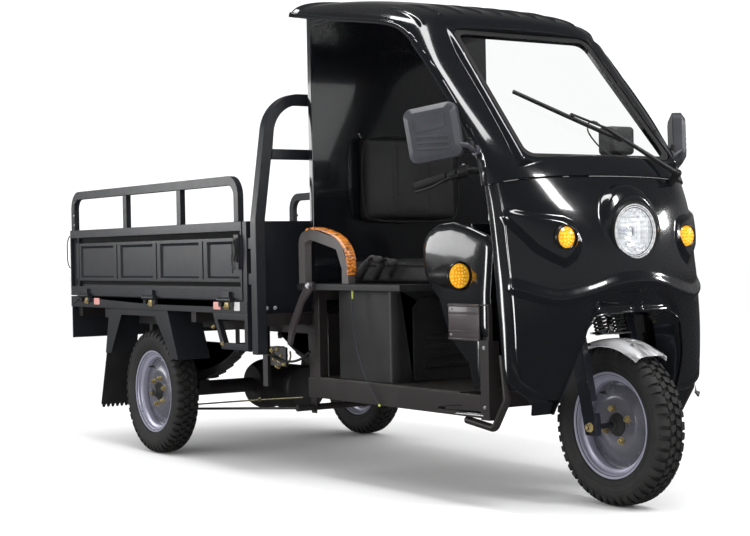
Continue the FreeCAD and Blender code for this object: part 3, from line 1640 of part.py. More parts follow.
def wiper():
    """Wiper spindle, two-piece arm and blade before the glass."""
    pivot = on_glass(wiper_pivot_y, -wiper_pivot_drop, wiper_over - 6)
    middle = on_glass(wiper_middle_y, wiper_middle_up, wiper_over - 8)
    joint = on_glass(wiper_joint_y, wiper_joint_up, wiper_blade_off + 12)
    blade_low = on_glass(wiper_low_y, wiper_low_up, wiper_blade_off)
    blade_high = on_glass(wiper_high_y, wiper_high_up, wiper_blade_off)
    thick = Part.makeCone(9, 5, (middle - pivot).Length, pivot, middle - pivot)
    arm = rod(middle, joint, 4)
    saddle = rod(joint, on_glass(wiper_joint_y, wiper_joint_up, wiper_blade_off - 2), 8)
    return join([wiper_hub(0), thick, Part.makeSphere(5, middle), arm, saddle,
                 rod(blade_low, blade_high, 6)])


def wiper_motor():
    """Closed housing of the wiper motor with a stay to the cowl's back."""
    block = box((motor_x - motor_length / 2, motor_x + motor_length / 2),
                (motor_y - motor_width / 2, motor_y + motor_width / 2),
                (motor_z - motor_height / 2, motor_z + motor_height / 2))
    near, far = (on_glass(0, -down, -border_back - gap) for down in motor_stay_reach)
    stay = prism([(motor_x, motor_z - motor_height / 3), (near.x, near.z), (far.x, far.z),
                  (motor_x, motor_z - (motor_height - motor_corner) / 2)],
                 "y", motor_y - motor_stay / 2, motor_y + motor_stay / 2)
    return join([block.makeFillet(motor_corner, block.Edges), stay])


def guard_tube(side):
    """Tube from behind the nose's edge down and back into a step."""
    y = side * guard_y
    tube = bent_rod([(guard_top_x, y, guard_top), (guard_knee_x, y, guard_knee),
                     (guard_bend_x, y, guard_bend),
                     (guard_end_x, y, guard_end)], guard_radius, guard_turn)
    return tube


def cab_post(side):
    """Front post and pressed bracket at the foot of the front pillar."""
    y = side * post_y
    low_x = sill_front + gap
    post = box((low_x, low_x + post_side), (y - post_side / 2, y + post_side / 2),
               (sill_bottom - 5, post_top_z))
    outer = side * (cab_half_width - 1)
    inner = side * (shield_half_width + gap)
    bracket = box((bracket_rear, low_x + post_side), sorted((inner, outer)), (bracket_low, bracket_high))
    pocket = box((bracket_rear - 1, low_x + post_side - bracket_wall),
                 sorted((inner + side * bracket_wall, outer + side)),
                 (bracket_low + bracket_wall, bracket_high - bracket_wall))
    tie = box((low_x + 1, low_x + post_side), sorted((side * (post_y - 3), side * (shield_half_width + 3))),
              (post_top_z - post_side, bracket_low + 1))
    return join([post, bracket.cut(pocket), tie])


def fork():
    """Fork: stem, crown with a nose for the dampers, pressed channel legs and axle."""
    low = head_low - head_clear
    high = handlebar_height - bar_drop
    stem = rod((steer_x(low - 5), 0, low - 5), (steer_x(high), 0, high), stem_radius)
    crown_x = steer_x(low - crown_height / 2)
    half = leg_outer
    crown = prism([(crown_x - crown_back, -crown_tail), (crown_x - crown_back, crown_tail), (crown_x, half),
                   (crown_front, half), (crown_front, -half),
                   (crown_x, -half)], "z", low - crown_height, low)
    pieces = [stem, crown]
    top_x = axle_leg_top
    for side in (-1, 1):
        outline = [(top_x - leg_top_width / 2, low - 2), (top_x + leg_top_width / 2, low - 2),
                   (wheelbase + leg_foot_width / 2, axle_height + leg_foot_width / 2),
                   (wheelbase + leg_foot_width / 2, axle_height - leg_foot_drop),
                   (wheelbase - leg_foot_width / 2, axle_height - leg_foot_drop)]
        leg = prism(outline, "y", *sorted((side * leg_outer, side * (leg_outer - leg_depth))))
        channel = [(top_x - leg_top_width / 2 + leg_wall, low - crown_height),
                   (top_x + leg_top_width / 2 - leg_wall, low - crown_height),
                   (wheelbase + leg_foot_width / 2 - leg_wall, axle_height + leg_foot_width),
                   (wheelbase - leg_foot_width / 2 + leg_wall, axle_height + leg_foot_width)]
        hollow = prism(channel, "y", *sorted((side * (leg_outer - leg_wall),
                                              side * (leg_outer - leg_depth - 1))))
        pieces.append(leg.cut(hollow))
        stay = fender_stay()
        pieces.append(rod((stay[0], side * (leg_outer - 1), stay[1]),
                          (stay[0], side * (fender_half_width + gap), stay[1]),
                          fender_stay_radius))
    reach = leg_outer + axle_end
    pieces.append(rod((wheelbase, -reach, axle_height), (wheelbase, reach, axle_height), axle_radius))
    return join(pieces)


def fender_stay():
    """Station and height of the studs that carry the front fender."""
    turn = math.radians(fender_stay_angle)
    reach = tyre_radius + fender_lift - fender_skirt / 2
    return wheelbase - reach * math.sin(turn), axle_height + reach * math.cos(turn)


def coil_unit(foot, head):
    """Damper with a coil spring over it, standing between two points."""
    line = head - foot
    pitch = line.Length / shock_coils
    outline = [(0, 0), (shock_tube, 0)]
    for i in range(shock_coils):
        start = i * pitch
        outline += [(shock_tube, start + pitch * 0.1), (shock_coil, start + pitch * 0.3),
                    (shock_coil, start + pitch * 0.7),
                    (shock_tube, start + pitch * 0.9)]
    outline += [(shock_tube, line.Length), (0, line.Length)]
    corners = [V(r, 0, s) for r, s in outline]
    unit = Part.Face(Part.makePolygon(corners + corners[:1])).revolve(V(0, 0, 0), V(0, 0, 1), 360)
    unit.Placement = FreeCAD.Placement(foot, FreeCAD.Rotation(V(0, 0, 1), line))
    return unit


def front_shocks():
    """Two coil-over units between the fork crown and a yoke over the fender."""
    top = head_low - head_clear - crown_height - gap
    units = []
    for side in (-1, 1):
        y = side * shock_y
        unit = coil_unit(V(shock_foot_x, y, shock_foot_z), V(shock_head_x, y, top + shock_coil))
        units.append(unit.cut(box((shock_head_x - shock_reach, shock_head_x + shock_reach),
                                  (-shock_reach, shock_reach),
                                  (top, top + shock_reach))))
    yoke = box((shock_foot_x - yoke_half, shock_foot_x + yoke_half),
               (-shock_y - shock_coil, shock_y + shock_coil),
               (shock_foot_z - yoke_gauge, shock_foot_z + 1))
    post = rod((shock_foot_x, 0, shock_foot_z), (shock_foot_x - post_lean, 0, post_top), post_radius)
    return join(units + [yoke, post])


def front_fender():
    """Curved bright fender with rolled side edges, close over the front tyre."""
    outer = tyre_radius + fender_lift
    half = fender_half_width
    profile = [(-half, outer - fender_skirt), (-half, outer - fender_round), (-half + fender_round, outer),
               (half - fender_round, outer), (half, outer - fender_round), (half, outer - fender_skirt)]
    inner = [(y * (1 - fender_gauge / half), r - fender_gauge * (r > outer - fender_round)) for y,
             r in profile[::-1]]
    points = [V(wheelbase, y, axle_height + r) for y, r in profile + inner]
    face = Part.Face(Part.makePolygon(points + points[:1]))
    centre = V(wheelbase, 0, axle_height)
    face.rotate(centre, V(0, 1, 0), fender_front_angle)
    band = face.revolve(centre, V(0, -1, 0), fender_front_angle + fender_rear_angle)
    return band.removeSplitter()


def handlebar():
    """Bar with clamp, rises and swept-back ends."""
    x = steer_x(handlebar_height)
    z = handlebar_height
    half = [bar_end, bar_shoulder, (x, bar_rise_y, z + bar_rise), (x, bar_clamp_y, z)]
    points = [(a, -b, c) for a, b, c in half] + half[::-1]
    bar = bent_rod(points, handlebar_radius, bar_bend)
    low = z - bar_rise
    clamp = rod((steer_x(low), 0, low), (steer_x(z + clamp_gauge), 0, z + clamp_gauge),
                stem_radius + clamp_gauge)
    stem_end = z - bar_drop + 1
    bore = rod((steer_x(low - bar_drop), 0, low - bar_drop), (steer_x(stem_end), 0, stem_end),
               stem_radius + gap)
    return bar.fuse(clamp.cut(bore)).removeSplitter()


def grip(side):
    """Rubber grip on the bar end."""
    tip = V(bar_end[0], side * bar_end[1], bar_end[2])
    root = V(bar_shoulder[0], side * bar_shoulder[1], bar_shoulder[2])
    along = (root - tip).normalize()
    return ring(tuple(tip - along * 4), tuple(tip + along * grip_length), grip_radius,
                handlebar_radius + gap)


def main():
    """Build every node and write it."""
    os.makedirs(parts_folder, exist_ok=True)
    tyre_right, rim_right = rear_wheel(-1)
    tyre_left, rim_left = rear_wheel(1)
    tyre_front, rim_front = front_wheel()
    right_side = drop_side()
    nodes = {
        "rear_right_tyre": tyre_right, "rear_right_rim": rim_right,
        "rear_left_tyre": tyre_left, "rear_left_rim": rim_left,
        "front_tyre": tyre_front, "front_rim": rim_front,
        "rear_axle": rear_axle(), "leaf_springs": pair(leaf_spring),
        "drive_motor": drive_motor(), "brake_linkage": brake_linkage(),
        "bed_subframe": bed_subframe(), "bed_floor": bed_floor(),
        "drop_side_right": right_side, "drop_side_left": mirrored(right_side),
        "tailgate": tailgate(), "headboard_hoop": headboard_hoop(),
        "rear_fenders": pair(rear_fender), "mud_flaps": pair(mud_flap), "side_guards": pair(side_guard),
        "rear_valance": rear_valance(), "tail_lamps": pair(tail_lamp),
        "cab_frame": cab_frame(), "floor_plate": floor_plate(), "battery_block": battery_block(),
        "seat_box": seat_box(), "seat_cushion": seat_cushion(), "seat_back": seat_back(),
        "armrests": pair(armrest), "parking_brake": parking_brake(),
        "back_wall": back_wall(), "cab_roof": cab_roof(),
        "front_fairing": front_fairing().cut(wiper_hub(gap)),
        "windshield_frame": windshield_frame().cut(wiper_hub(gap)), "windshield": windshield(),
        "windshield_gasket": windshield_gasket(), "leg_shield": leg_shield(),
        "headlamp": headlamp(), "turn_signals": pair(turn_signal), "side_lamps": pair(side_lamp),
        "wiper": wiper(), "wiper_motor": wiper_motor(), "mirrors": pair(mirror),
        "guard_tubes": pair(guard_tube), "cab_posts": pair(cab_post),
        "fork": fork(), "front_shocks": front_shocks(), "front_fender": front_fender(),
        "handlebar": handlebar(), "grips": pair(grip),
    }
    for name, shape in nodes.items():
        save(name, shape)


main()
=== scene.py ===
import bmesh
import bpy
import json
import math
from mathutils import Matrix, Vector

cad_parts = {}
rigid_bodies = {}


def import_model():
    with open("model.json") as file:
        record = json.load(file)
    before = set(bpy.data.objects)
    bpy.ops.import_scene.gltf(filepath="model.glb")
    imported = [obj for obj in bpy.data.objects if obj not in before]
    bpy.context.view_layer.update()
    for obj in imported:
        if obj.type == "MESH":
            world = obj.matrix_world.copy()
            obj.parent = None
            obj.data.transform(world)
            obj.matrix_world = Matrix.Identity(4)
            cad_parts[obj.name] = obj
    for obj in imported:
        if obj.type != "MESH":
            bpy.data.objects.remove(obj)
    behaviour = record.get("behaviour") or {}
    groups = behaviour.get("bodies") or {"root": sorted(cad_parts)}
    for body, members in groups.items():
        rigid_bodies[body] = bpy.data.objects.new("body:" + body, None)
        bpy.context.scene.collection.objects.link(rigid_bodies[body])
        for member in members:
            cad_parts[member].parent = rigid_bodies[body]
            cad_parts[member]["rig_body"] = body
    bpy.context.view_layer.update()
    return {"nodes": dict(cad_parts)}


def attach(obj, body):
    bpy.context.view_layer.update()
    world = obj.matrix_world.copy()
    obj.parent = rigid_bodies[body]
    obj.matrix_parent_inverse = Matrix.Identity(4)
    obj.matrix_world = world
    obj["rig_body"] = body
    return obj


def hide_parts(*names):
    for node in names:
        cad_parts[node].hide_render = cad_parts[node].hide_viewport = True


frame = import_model()
nodes = frame["nodes"]

# Places are written as on the vehicle's drawing: millimetres forward of the rear axle,
# left of the centre line and up from the ground.
axle_station = 845
sides = ((-1, "right"), (1, "left"))


def P(x, y, z):
    """Point of the drawing, in metres in the model's frame."""
    return Vector(((x - axle_station) / 1000, y / 1000, z / 1000))


def smooth(low, high, value):
    """Soft step from 0 to 1 between two values."""
    share = min(1, max(0, (value - low) / (high - low)))
    return share * share * (3 - 2 * share)


# ---- camera
camera_place = Vector((4.9656, -3.3293, 0.7941))
camera_azimuth, camera_pitch, camera_roll = math.radians(56.18), math.radians(0.542), -0.0182
photo_width, focal_pixels, far_clip = 750, 1574.6, 100


def set_camera():
    """Camera where the photographer stood."""
    turn, dip = camera_azimuth, camera_pitch
    ahead = Vector((-math.sin(turn) * math.cos(dip), math.cos(turn) * math.cos(dip), -math.sin(dip)))
    right = Vector((math.cos(turn), math.sin(turn), 0))
    up = right.cross(ahead)
    side = right * math.cos(camera_roll) + up * math.sin(camera_roll)
    top = up * math.cos(camera_roll) - right * math.sin(camera_roll)
    lens = bpy.data.cameras.new("photo_camera")
    lens.sensor_width = 36
    lens.lens = focal_pixels / photo_width * lens.sensor_width
    lens.clip_end = far_clip
    eye = bpy.data.objects.new("photo_camera", lens)
    bpy.context.collection.objects.link(eye)
    eye.matrix_world = Matrix.Translation(camera_place) @ Matrix((side, top, -ahead)).transposed().to_4x4()
    bpy.context.scene.camera = eye


# ---- finishes
class Value:
    """One value of a finish; arithmetic on it adds the Math nodes."""

    def __init__(self, finish, socket):
        self.finish, self.socket = finish, socket

    def math(self, operation, first, second):
        """Result of one Math node."""
        return self.finish.add("ShaderNodeMath", {"operation": operation}, {0: first, 1: second})

    def __add__(self, other):
        return self.math("ADD", self, other)

    def __mul__(self, other):
        return self.math("MULTIPLY", self, other)

    def step(self, low, high):
        """Soft step of the value from 0 to 1."""
        return self.finish.add("ShaderNodeMapRange", {"interpolation_type": "SMOOTHSTEP"},
                               {"Value": self, "From Min": low, "From Max": high})


class Finish:
    """Material of one real finish, with its own shader nodes."""

    def __init__(self, name, colour, roughness, **constants):
        self.material = bpy.data.materials.new(name)
        self.material.use_nodes = True
        self.tree = self.material.node_tree
        self.shader = self.tree.nodes["Principled BSDF"]
        self.material.diffuse_color = (*colour, 1)
        self.colour, self.roughness = colour, roughness
        self.shader.inputs["Base Color"].default_value = (*colour, 1)
        self.shader.inputs["Roughness"].default_value = roughness
        for socket, value in constants.items():
            self.shader.inputs[socket.replace("_", " ")].default_value = value
        self.place = self.add("ShaderNodeTexCoord", {}, {}, "Object")

    def add(self, kind, settings, sockets, output=0):
        """New shader node with its settings and its inputs, which are values or numbers."""
        node = self.tree.nodes.new(kind)
        for key, value in settings.items():
            setattr(node, key, value)
        for key, value in sockets.items():
            if isinstance(value, Value):
                self.tree.links.new(value.socket, node.inputs[key])
            else:
                node.inputs[key].default_value = value
        return Value(self, node.outputs[output])

    def feed(self, socket, value):
        """Let a value drive one input of the shader."""
        self.tree.links.new(value.socket, self.shader.inputs[socket])

    def noise(self, scale, detail=3, stretch=(1, 1, 1)):
        """Cloudy noise in the piece's own space."""
        place = self.place
        if stretch != (1, 1, 1):
            place = self.add("ShaderNodeVectorMath", {"operation": "MULTIPLY"}, {0: place, 1: stretch})
        return self.add("ShaderNodeTexNoise", {}, {"Vector": place, "Scale": scale, "Detail": detail})

    def vary_colour(self, factor, second):
        """Blend the base colour towards a second one."""
        colours = {0: factor, 6: (*self.colour, 1), 7: (*second, 1)}
        self.feed("Base Color", self.add("ShaderNodeMix", {"data_type": "RGBA"}, colours, 2))

    def vary_roughness(self, factor, reach):
        """Spread the roughness evenly round its plain value."""
        self.feed("Roughness", factor * reach + (self.roughness - reach / 2))

    def bump(self, height, strength, distance):
        """Fine relief from a height value."""
        self.feed("Normal", self.add("ShaderNodeBump", {}, {"Height": height, "Strength": strength,
                                                            "Distance": distance}))
        return self


def painted(name, colour, roughness, dust, wear=0.03, peel=0.05, **constants):
    """Sprayed paint: fine orange peel, faint dust and uneven gloss."""
    finish = Finish(name, colour, roughness, **constants)
    clouds = finish.noise(7, 5)
    finish.vary_colour(clouds.step(0.45, 0.8) * dust, tuple(c + wear for c in colour))
    finish.vary_roughness(finish.noise(21, 4), 0.12)
    return finish.bump(finish.noise(900, 2), peel, 0.0004)


def moulded(name, colour, roughness, grain=1600, **constants):
    """Moulded plastic or rubber with a fine grain."""
    finish = Finish(name, colour, roughness, **constants)
    finish.vary_colour(finish.noise(14, 4).step(0.4, 0.8) * 0.5, tuple(c * 1.5 + 0.006 for c in colour))
    finish.vary_roughness(finish.noise(60, 3), 0.14)
    return finish.bump(finish.noise(grain, 2), 0.12, 0.0003)


def metal(name, colour, roughness, brush=(1, 1, 1), **constants):
    """Bare or plated metal with fine marks."""
    finish = Finish(name, colour, roughness, Metallic=1.0, **constants)
    marks = finish.noise(160, 3, brush)
    finish.vary_colour(finish.noise(11, 4).step(0.4, 0.75) * 0.4, tuple(c * 0.7 for c in colour))
    finish.vary_roughness(marks, 0.1)
    return finish.bump(marks, 0.04, 0.0003)


gloss_black = painted("gloss_black_shell", (0.0042, 0.0048, 0.0062), 0.16, 0.12, 0.006, 0.01,
                      Coat_Weight=1.0, Coat_Roughness=0.05)
bed_black = painted("satin_bed_paint", (0.0135, 0.0148, 0.0185), 0.36, 0.4, 0.012,
                    Coat_Weight=0.25, Coat_Roughness=0.2)
chassis_black = painted("satin_brown_black", (0.017, 0.0145, 0.014), 0.38, 0.5, 0.015,
                        Coat_Weight=0.3, Coat_Roughness=0.18)
spring_black = painted("spring_steel_black", (0.02, 0.02, 0.02), 0.42, 0.5)
fork_black = painted("fork_blue_black", (0.008, 0.009, 0.014), 0.28, 0.3, 0.02, Coat_Weight=0.6, Coat_Roughness=0.1)
rim_silver = painted("rim_silver_violet", (0.4, 0.4, 0.5), 0.3, 0.3, -0.08,
                     Metallic=0.45, Coat_Weight=0.5, Coat_Roughness=0.12)
disc_steel = painted("wheel_disc_steel", (0.2, 0.2, 0.235), 0.26, 0.9, -0.11,
                     Metallic=0.6, Coat_Weight=0.4, Coat_Roughness=0.1)
mirror_grey = moulded("mirror_grey", (0.042, 0.043, 0.052), 0.38, 1200, Coat_Weight=0.2, Coat_Roughness=0.2)
bracket_satin = painted("bracket_satin", (0.045, 0.038, 0.04), 0.3, 0.5, 0.02, Coat_Weight=0.5, Coat_Roughness=0.12)
plastic_black = moulded("fine_black_plastic", (0.012, 0.012, 0.013), 0.4)
rubber_black = moulded("black_rubber", (0.013, 0.013, 0.013), 0.62, 900)
tyre_black = moulded("tyre_rubber", (0.016, 0.0155, 0.015), 0.66, 700)
armrest_grey = moulded("armrest_grey", (0.075, 0.068, 0.068), 0.42)
battery_grey = moulded("battery_case", (0.04, 0.04, 0.045), 0.5)
floor_paint = painted("worn_floor_paint", (0.03, 0.027, 0.025), 0.45, 0.8, 0.04)
chrome = metal("chrome", (0.72, 0.73, 0.75), 0.1)
zinc = metal("dull_zinc", (0.4, 0.4, 0.42), 0.36)
zinc.feed("Metallic", zinc.noise(40).step(0.3, 0.6) * 0.4 + 0.45)
casting = metal("dark_casting", (0.17, 0.17, 0.17), 0.5)
yellow_zinc = metal("yellow_passivated_steel", (0.55, 0.44, 0.2), 0.3)
yellow_zinc.feed("Metallic", yellow_zinc.noise(40).step(0.3, 0.6) * 0.5 + 0.35)
pale_zinc = metal("yellowed_zinc", (0.55, 0.5, 0.3), 0.35)
bright_stud = painted("bright_stud", (0.6, 0.6, 0.62), 0.25, 0.4, -0.2, Metallic=0.3)
# Flat matt black for the strips that paint shade into the dark rail channels.
painted_shade_black = moulded("painted_shade_matt_black", (0.002, 0.002, 0.002), 0.8)
cable_grey = moulded("cable_sheath", (0.03, 0.035, 0.045), 0.4)
yellow_tip = moulded("yellow_tip", (0.5, 0.55, 0.12), 0.4)
# Polished steel fender with painted sheen: a near-white base that is only partly metallic, in streaks, stands in for
# the bright reflections of the studio; darker blotches lie over it.
fender_painted_sheen = Finish("polished_fender_steel_painted_sheen", (0.78, 0.78, 0.8), 0.12, Coat_Weight=0.6, Coat_Roughness=0.05)
painted_sheen_streaks = fender_painted_sheen.noise(9, 4, (1, 3, 0.6))
fender_painted_sheen.feed("Metallic", painted_sheen_streaks.step(0.45, 0.62) * 0.5 + 0.2)
fender_painted_sheen.vary_colour(fender_painted_sheen.noise(23, 4).step(0.56, 0.74), (0.3, 0.3, 0.32))
fender_painted_sheen.vary_roughness(fender_painted_sheen.noise(60), 0.1)
headlamp_glass = Finish("headlamp_glass", (0.96, 0.98, 1.0), 0.05, Transmission_Weight=1.0, IOR=1.45)
flutes = headlamp_glass.add("ShaderNodeTexWave", {"wave_type": "BANDS", "bands_direction": "Y"},
                            {"Vector": headlamp_glass.place, "Scale": 26.0, "Distortion": 0.0})
headlamp_glass.bump(flutes, 0.25, 0.002)
amber = Finish("amber_lens", (1.0, 0.5, 0.02), 0.12, Transmission_Weight=0.15, Coat_Weight=1.0, Coat_Roughness=0.03,
               Emission_Color=(1.0, 0.55, 0.03, 1), Emission_Strength=0.32)
cells = amber.add("ShaderNodeTexVoronoi", {"feature": "F1"}, {"Vector": amber.place, "Scale": 95.0, "Randomness": 0.25})
amber.vary_colour(cells.step(0.3, 0.62), (0.75, 0.25, 0.006))
amber.bump(cells, 0.5, 0.002)
red_glass = Finish("red_lens", (0.4, 0.008, 0.006), 0.16, Transmission_Weight=0.2, Coat_Weight=1.0)
pink_reflector = Finish("faded_red_reflector", (0.62, 0.3, 0.27), 0.3, Coat_Weight=0.8)
for lens, scale, strength in ((red_glass, 160.0, 0.4), (pink_reflector, 260.0, 0.5)):
    prisms = lens.add("ShaderNodeTexVoronoi", {}, {"Vector": lens.place, "Scale": scale, "Randomness": 0.0})
    lens.bump(prisms, strength, 0.001)
pale_plate = painted("pale_plate", (0.5, 0.5, 0.5), 0.4, 0.4, -0.1)
led_dot = Finish("led_dot", (1.0, 0.74, 0.2), 0.2, Emission_Color=(1.0, 0.62, 0.12, 1), Emission_Strength=0.25)
led_dot.vary_roughness(led_dot.noise(80), 0.05)
lamp_seal = moulded("lamp_seal", (0.008, 0.008, 0.008), 0.3)
# Faceted chrome of the headlamp bowl and bright ring, with a faint white glow: a painted reflection that stands in for
# the bright studio mirrored in the chrome.
painted_glow_chrome = Finish("faceted_bowl_painted_glow", (0.92, 0.92, 0.93), 0.08, Metallic=0.5, Emission_Color=(1, 1, 1, 1),
                     Emission_Strength=0.2)
facets = painted_glow_chrome.add("ShaderNodeTexVoronoi", {"feature": "F1"}, {"Vector": painted_glow_chrome.place, "Scale": 60.0,
                                                                     "Randomness": 0.1})
painted_glow_chrome.bump(facets, 0.7, 0.004)
painted_glow_chrome.vary_colour(facets.step(0.35, 0.8), (0.5, 0.51, 0.53))
window_glass = Finish("windshield_glass", (0.97, 0.985, 0.98), 0.01, Transmission_Weight=1.0, IOR=1.12)
window_glass.vary_roughness(window_glass.noise(5, 4).step(0.5, 0.9), 0.015)
mirror_face = Finish("mirror_glass", (0.8, 0.82, 0.84), 0.02, Metallic=1.0)
mirror_face.vary_roughness(mirror_face.noise(6), 0.02)
seat_leather = Finish("black_coated_fabric", (0.006, 0.006, 0.007), 0.5, Coat_Weight=0.08, Coat_Roughness=0.3)
pores = seat_leather.add("ShaderNodeTexVoronoi", {"feature": "DISTANCE_TO_EDGE"},
                         {"Vector": seat_leather.place, "Scale": 620.0, "Randomness": 1.0})
seat_leather.vary_colour(seat_leather.noise(9, 4).step(0.4, 0.8) * 0.5, (0.014, 0.014, 0.016))
seat_leather.vary_roughness(seat_leather.noise(40, 3), 0.16)
seat_leather.bump(pores.step(0.0, 0.25), 0.35, 0.0006)
wood = Finish("orange_wood_pad", (0.72, 0.25, 0.035), 0.32, Coat_Weight=0.6, Coat_Roughness=0.12)
grain = wood.add("ShaderNodeTexWave", {"wave_type": "BANDS", "bands_direction": "Z", "wave_profile": "SAW"},
                 {"Vector": wood.place, "Scale": 24.0, "Distortion": 9.0, "Detail": 3.0, "Detail Scale": 2.2})
wood.vary_colour(grain.step(0.2, 0.8) * wood.noise(38, 4).step(0.3, 0.55), (0.16, 0.035, 0.006))
wood.vary_roughness(grain, 0.14)
wood.bump(grain, 0.2, 0.0006)


def dress(node, finish):
    """Give a CAD node its finish."""
    data = nodes[node].data
    data.materials.clear()
    data.materials.append(finish.material)


# ---- making pieces
def shade(mesh, limit=40):
    """Smooth faces, with creases where two faces meet at more than the limit."""
    for face in mesh.faces:
        face.smooth = True
    for edge in mesh.edges:
        edge.smooth = len(edge.link_faces) == 2 and edge.calc_face_angle(0) < math.radians(limit)


def piece(name, mesh, finish, body, slot, *replaced, limit=40, weighted=False):
    """Turn a bmesh into a named piece that rides on a body."""
    shade(mesh, limit)
    data = bpy.data.meshes.new(name)
    mesh.to_mesh(data)
    mesh.free()
    thing = bpy.data.objects.new(name, data)
    bpy.context.collection.objects.link(thing)
    data.materials.append(finish.material)
    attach(thing, body)
    if replaced:
        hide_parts(*replaced)
    if weighted:
        thing.modifiers.new("even_faces", "WEIGHTED_NORMAL").keep_sharp = True
    return thing


def merged(node):
    """Mesh of a CAD node with its loose triangles joined and its flats made whole."""
    mesh = bmesh.new()
    mesh.from_mesh(nodes[node].data)
    bmesh.ops.remove_doubles(mesh, verts=mesh.verts, dist=0.00001)
    bmesh.ops.dissolve_limit(mesh, angle_limit=math.radians(0.5), verts=mesh.verts, edges=mesh.edges)
    return mesh


def round_edges(mesh, width, limit=38, segments=2):
    """Round the edges that turn by more than the limit."""
    sharp = [e for e in mesh.edges if len(e.link_faces) == 2 and e.calc_face_angle(0) > math.radians(limit)]
    bmesh.ops.bevel(mesh, geom=sharp, offset=width / 1000, offset_type="OFFSET", affect="EDGES",
                    segments=segments, profile=0.5, material=-1, clamp_overlap=False)


def softened(node, finish, slot, width=1.2):
    """CAD node as a piece with rounded edges."""
    mesh = merged(node)
    round_edges(mesh, width)
    return piece(node + "_finished", mesh, finish, nodes[node]["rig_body"], slot, node, weighted=True)


def once(items):
    """Each item once, in the order it came."""
    return list(dict.fromkeys(items))


def add_block(mesh, low, high, width=0):
    """Box between two opposite corners of the drawing, with rounded edges."""
    low, high = Vector(low), Vector(high)
    made = bmesh.ops.create_cube(mesh, size=1)["verts"]
    centre, size = (low + high) / 2, [abs(s) / 1000 for s in high - low]
    bmesh.ops.scale(mesh, vec=size, verts=made)
    bmesh.ops.translate(mesh, vec=P(*centre), verts=made)
    if width:
        edges = once(e for v in made for e in v.link_edges)
        bmesh.ops.bevel(mesh, geom=edges, offset=width / 1000, offset_type="OFFSET", affect="EDGES",
                        segments=3, profile=0.5, material=-1, clamp_overlap=True)


def add_rod(mesh, start, end, radius, tip=None, sides=24, chamfer=0):
    """Round bar or cone between two points of the drawing."""
    start, end = P(*start), P(*end)
    line = end - start
    made = bmesh.ops.create_cone(mesh, cap_ends=True, segments=sides, radius1=radius / 1000,
                                 radius2=(radius if tip is None else tip) / 1000, depth=line.length)["verts"]
    if chamfer:
        rims = [e for e in once(e for v in made for e in v.link_edges) if any(len(f.verts) > 4 for f in e.link_faces)]
        bands = bmesh.ops.bevel(mesh, geom=rims, offset=chamfer / 1000, offset_type="OFFSET", affect="EDGES",
                                segments=2, profile=0.5, material=-1, clamp_overlap=True)["faces"]
        made = once([v for f in bands for v in f.verts] + [v for v in made if v.is_valid])
    turn = line.to_track_quat("Z", "Y").to_matrix()
    bmesh.ops.rotate(mesh, cent=(0, 0, 0), matrix=turn, verts=made)
    bmesh.ops.translate(mesh, vec=(start + end) / 2, verts=made)


def add_ball(mesh, centre, radius):
    """Small round knob."""
    made = bmesh.ops.create_uvsphere(mesh, u_segments=20, v_segments=12, radius=radius / 1000)["verts"]
    bmesh.ops.translate(mesh, vec=P(*centre), verts=made)


def add_turned(mesh, outline, centre, axis, steps=64, closed=True):
    """Turn an outline of (place along the axis, radius) round an axis through a point."""
    axis = Vector(axis).normalized()
    side = axis.orthogonal().normalized()
    middle = P(*centre)
    verts = [mesh.verts.new(middle + axis * (a / 1000) + side * (r / 1000)) for a, r in outline]
    edges = [mesh.edges.new(pair) for pair in zip(verts, verts[1:])]
    if closed:
        edges.append(mesh.edges.new((verts[-1], verts[0])))
    old = set(mesh.verts)
    bmesh.ops.spin(mesh, geom=verts + edges, cent=middle, axis=axis, angle=2 * math.pi, steps=steps, use_merge=True)
    made = verts + [v for v in mesh.verts if v not in old]
    faces = once(f for v in made if v.is_valid for f in v.link_faces)
    bmesh.ops.remove_doubles(mesh, verts=[v for v in made if v.is_valid], dist=0.000002)
    bmesh.ops.recalc_face_normals(mesh, faces=[f for f in faces if f.is_valid])


def add_bar(mesh, points, radius, closed=False):
    """Round bar on a smooth line through points of the drawing."""
    line = bpy.data.curves.new("bar", "CURVE")
    line.dimensions = "3D"
    line.resolution_u = 4
    line.bevel_depth = radius / 1000
    line.bevel_resolution = 3
    line.use_fill_caps = True
    spline = line.splines.new("BEZIER")
    spline.bezier_points.add(len(points) - 1)
    for spot, place in zip(spline.bezier_points, points):
        spot.co = P(*place)
        spot.handle_left_type = spot.handle_right_type = "AUTO"
    spline.use_cyclic_u = closed
    holder = bpy.data.objects.new("bar", line)
    bpy.context.collection.objects.link(holder)
    bpy.context.view_layer.update()
    data = bpy.data.meshes.new_from_object(holder.evaluated_get(bpy.context.evaluated_depsgraph_get()))
    mesh.from_mesh(data)
    bpy.data.objects.remove(holder)
    bpy.data.curves.remove(line)
    bpy.data.meshes.remove(data)


def add_nut(mesh, centre, axis, across, height, stud=0):
    """Hexagon nut with chamfered top on a washer, with its stud."""
    axis, base = Vector(axis).normalized(), Vector(centre)
    add_rod(mesh, base, base + axis * 1.6, across * 0.62, chamfer=0.4)
    add_rod(mesh, base + axis * 1.5, base + axis * height, across / 2, sides=6, chamfer=0.9)
    if stud:
        add_rod(mesh, base + axis * height, base + axis * (height + stud), across * 0.28, across * 0.24, sides=16)


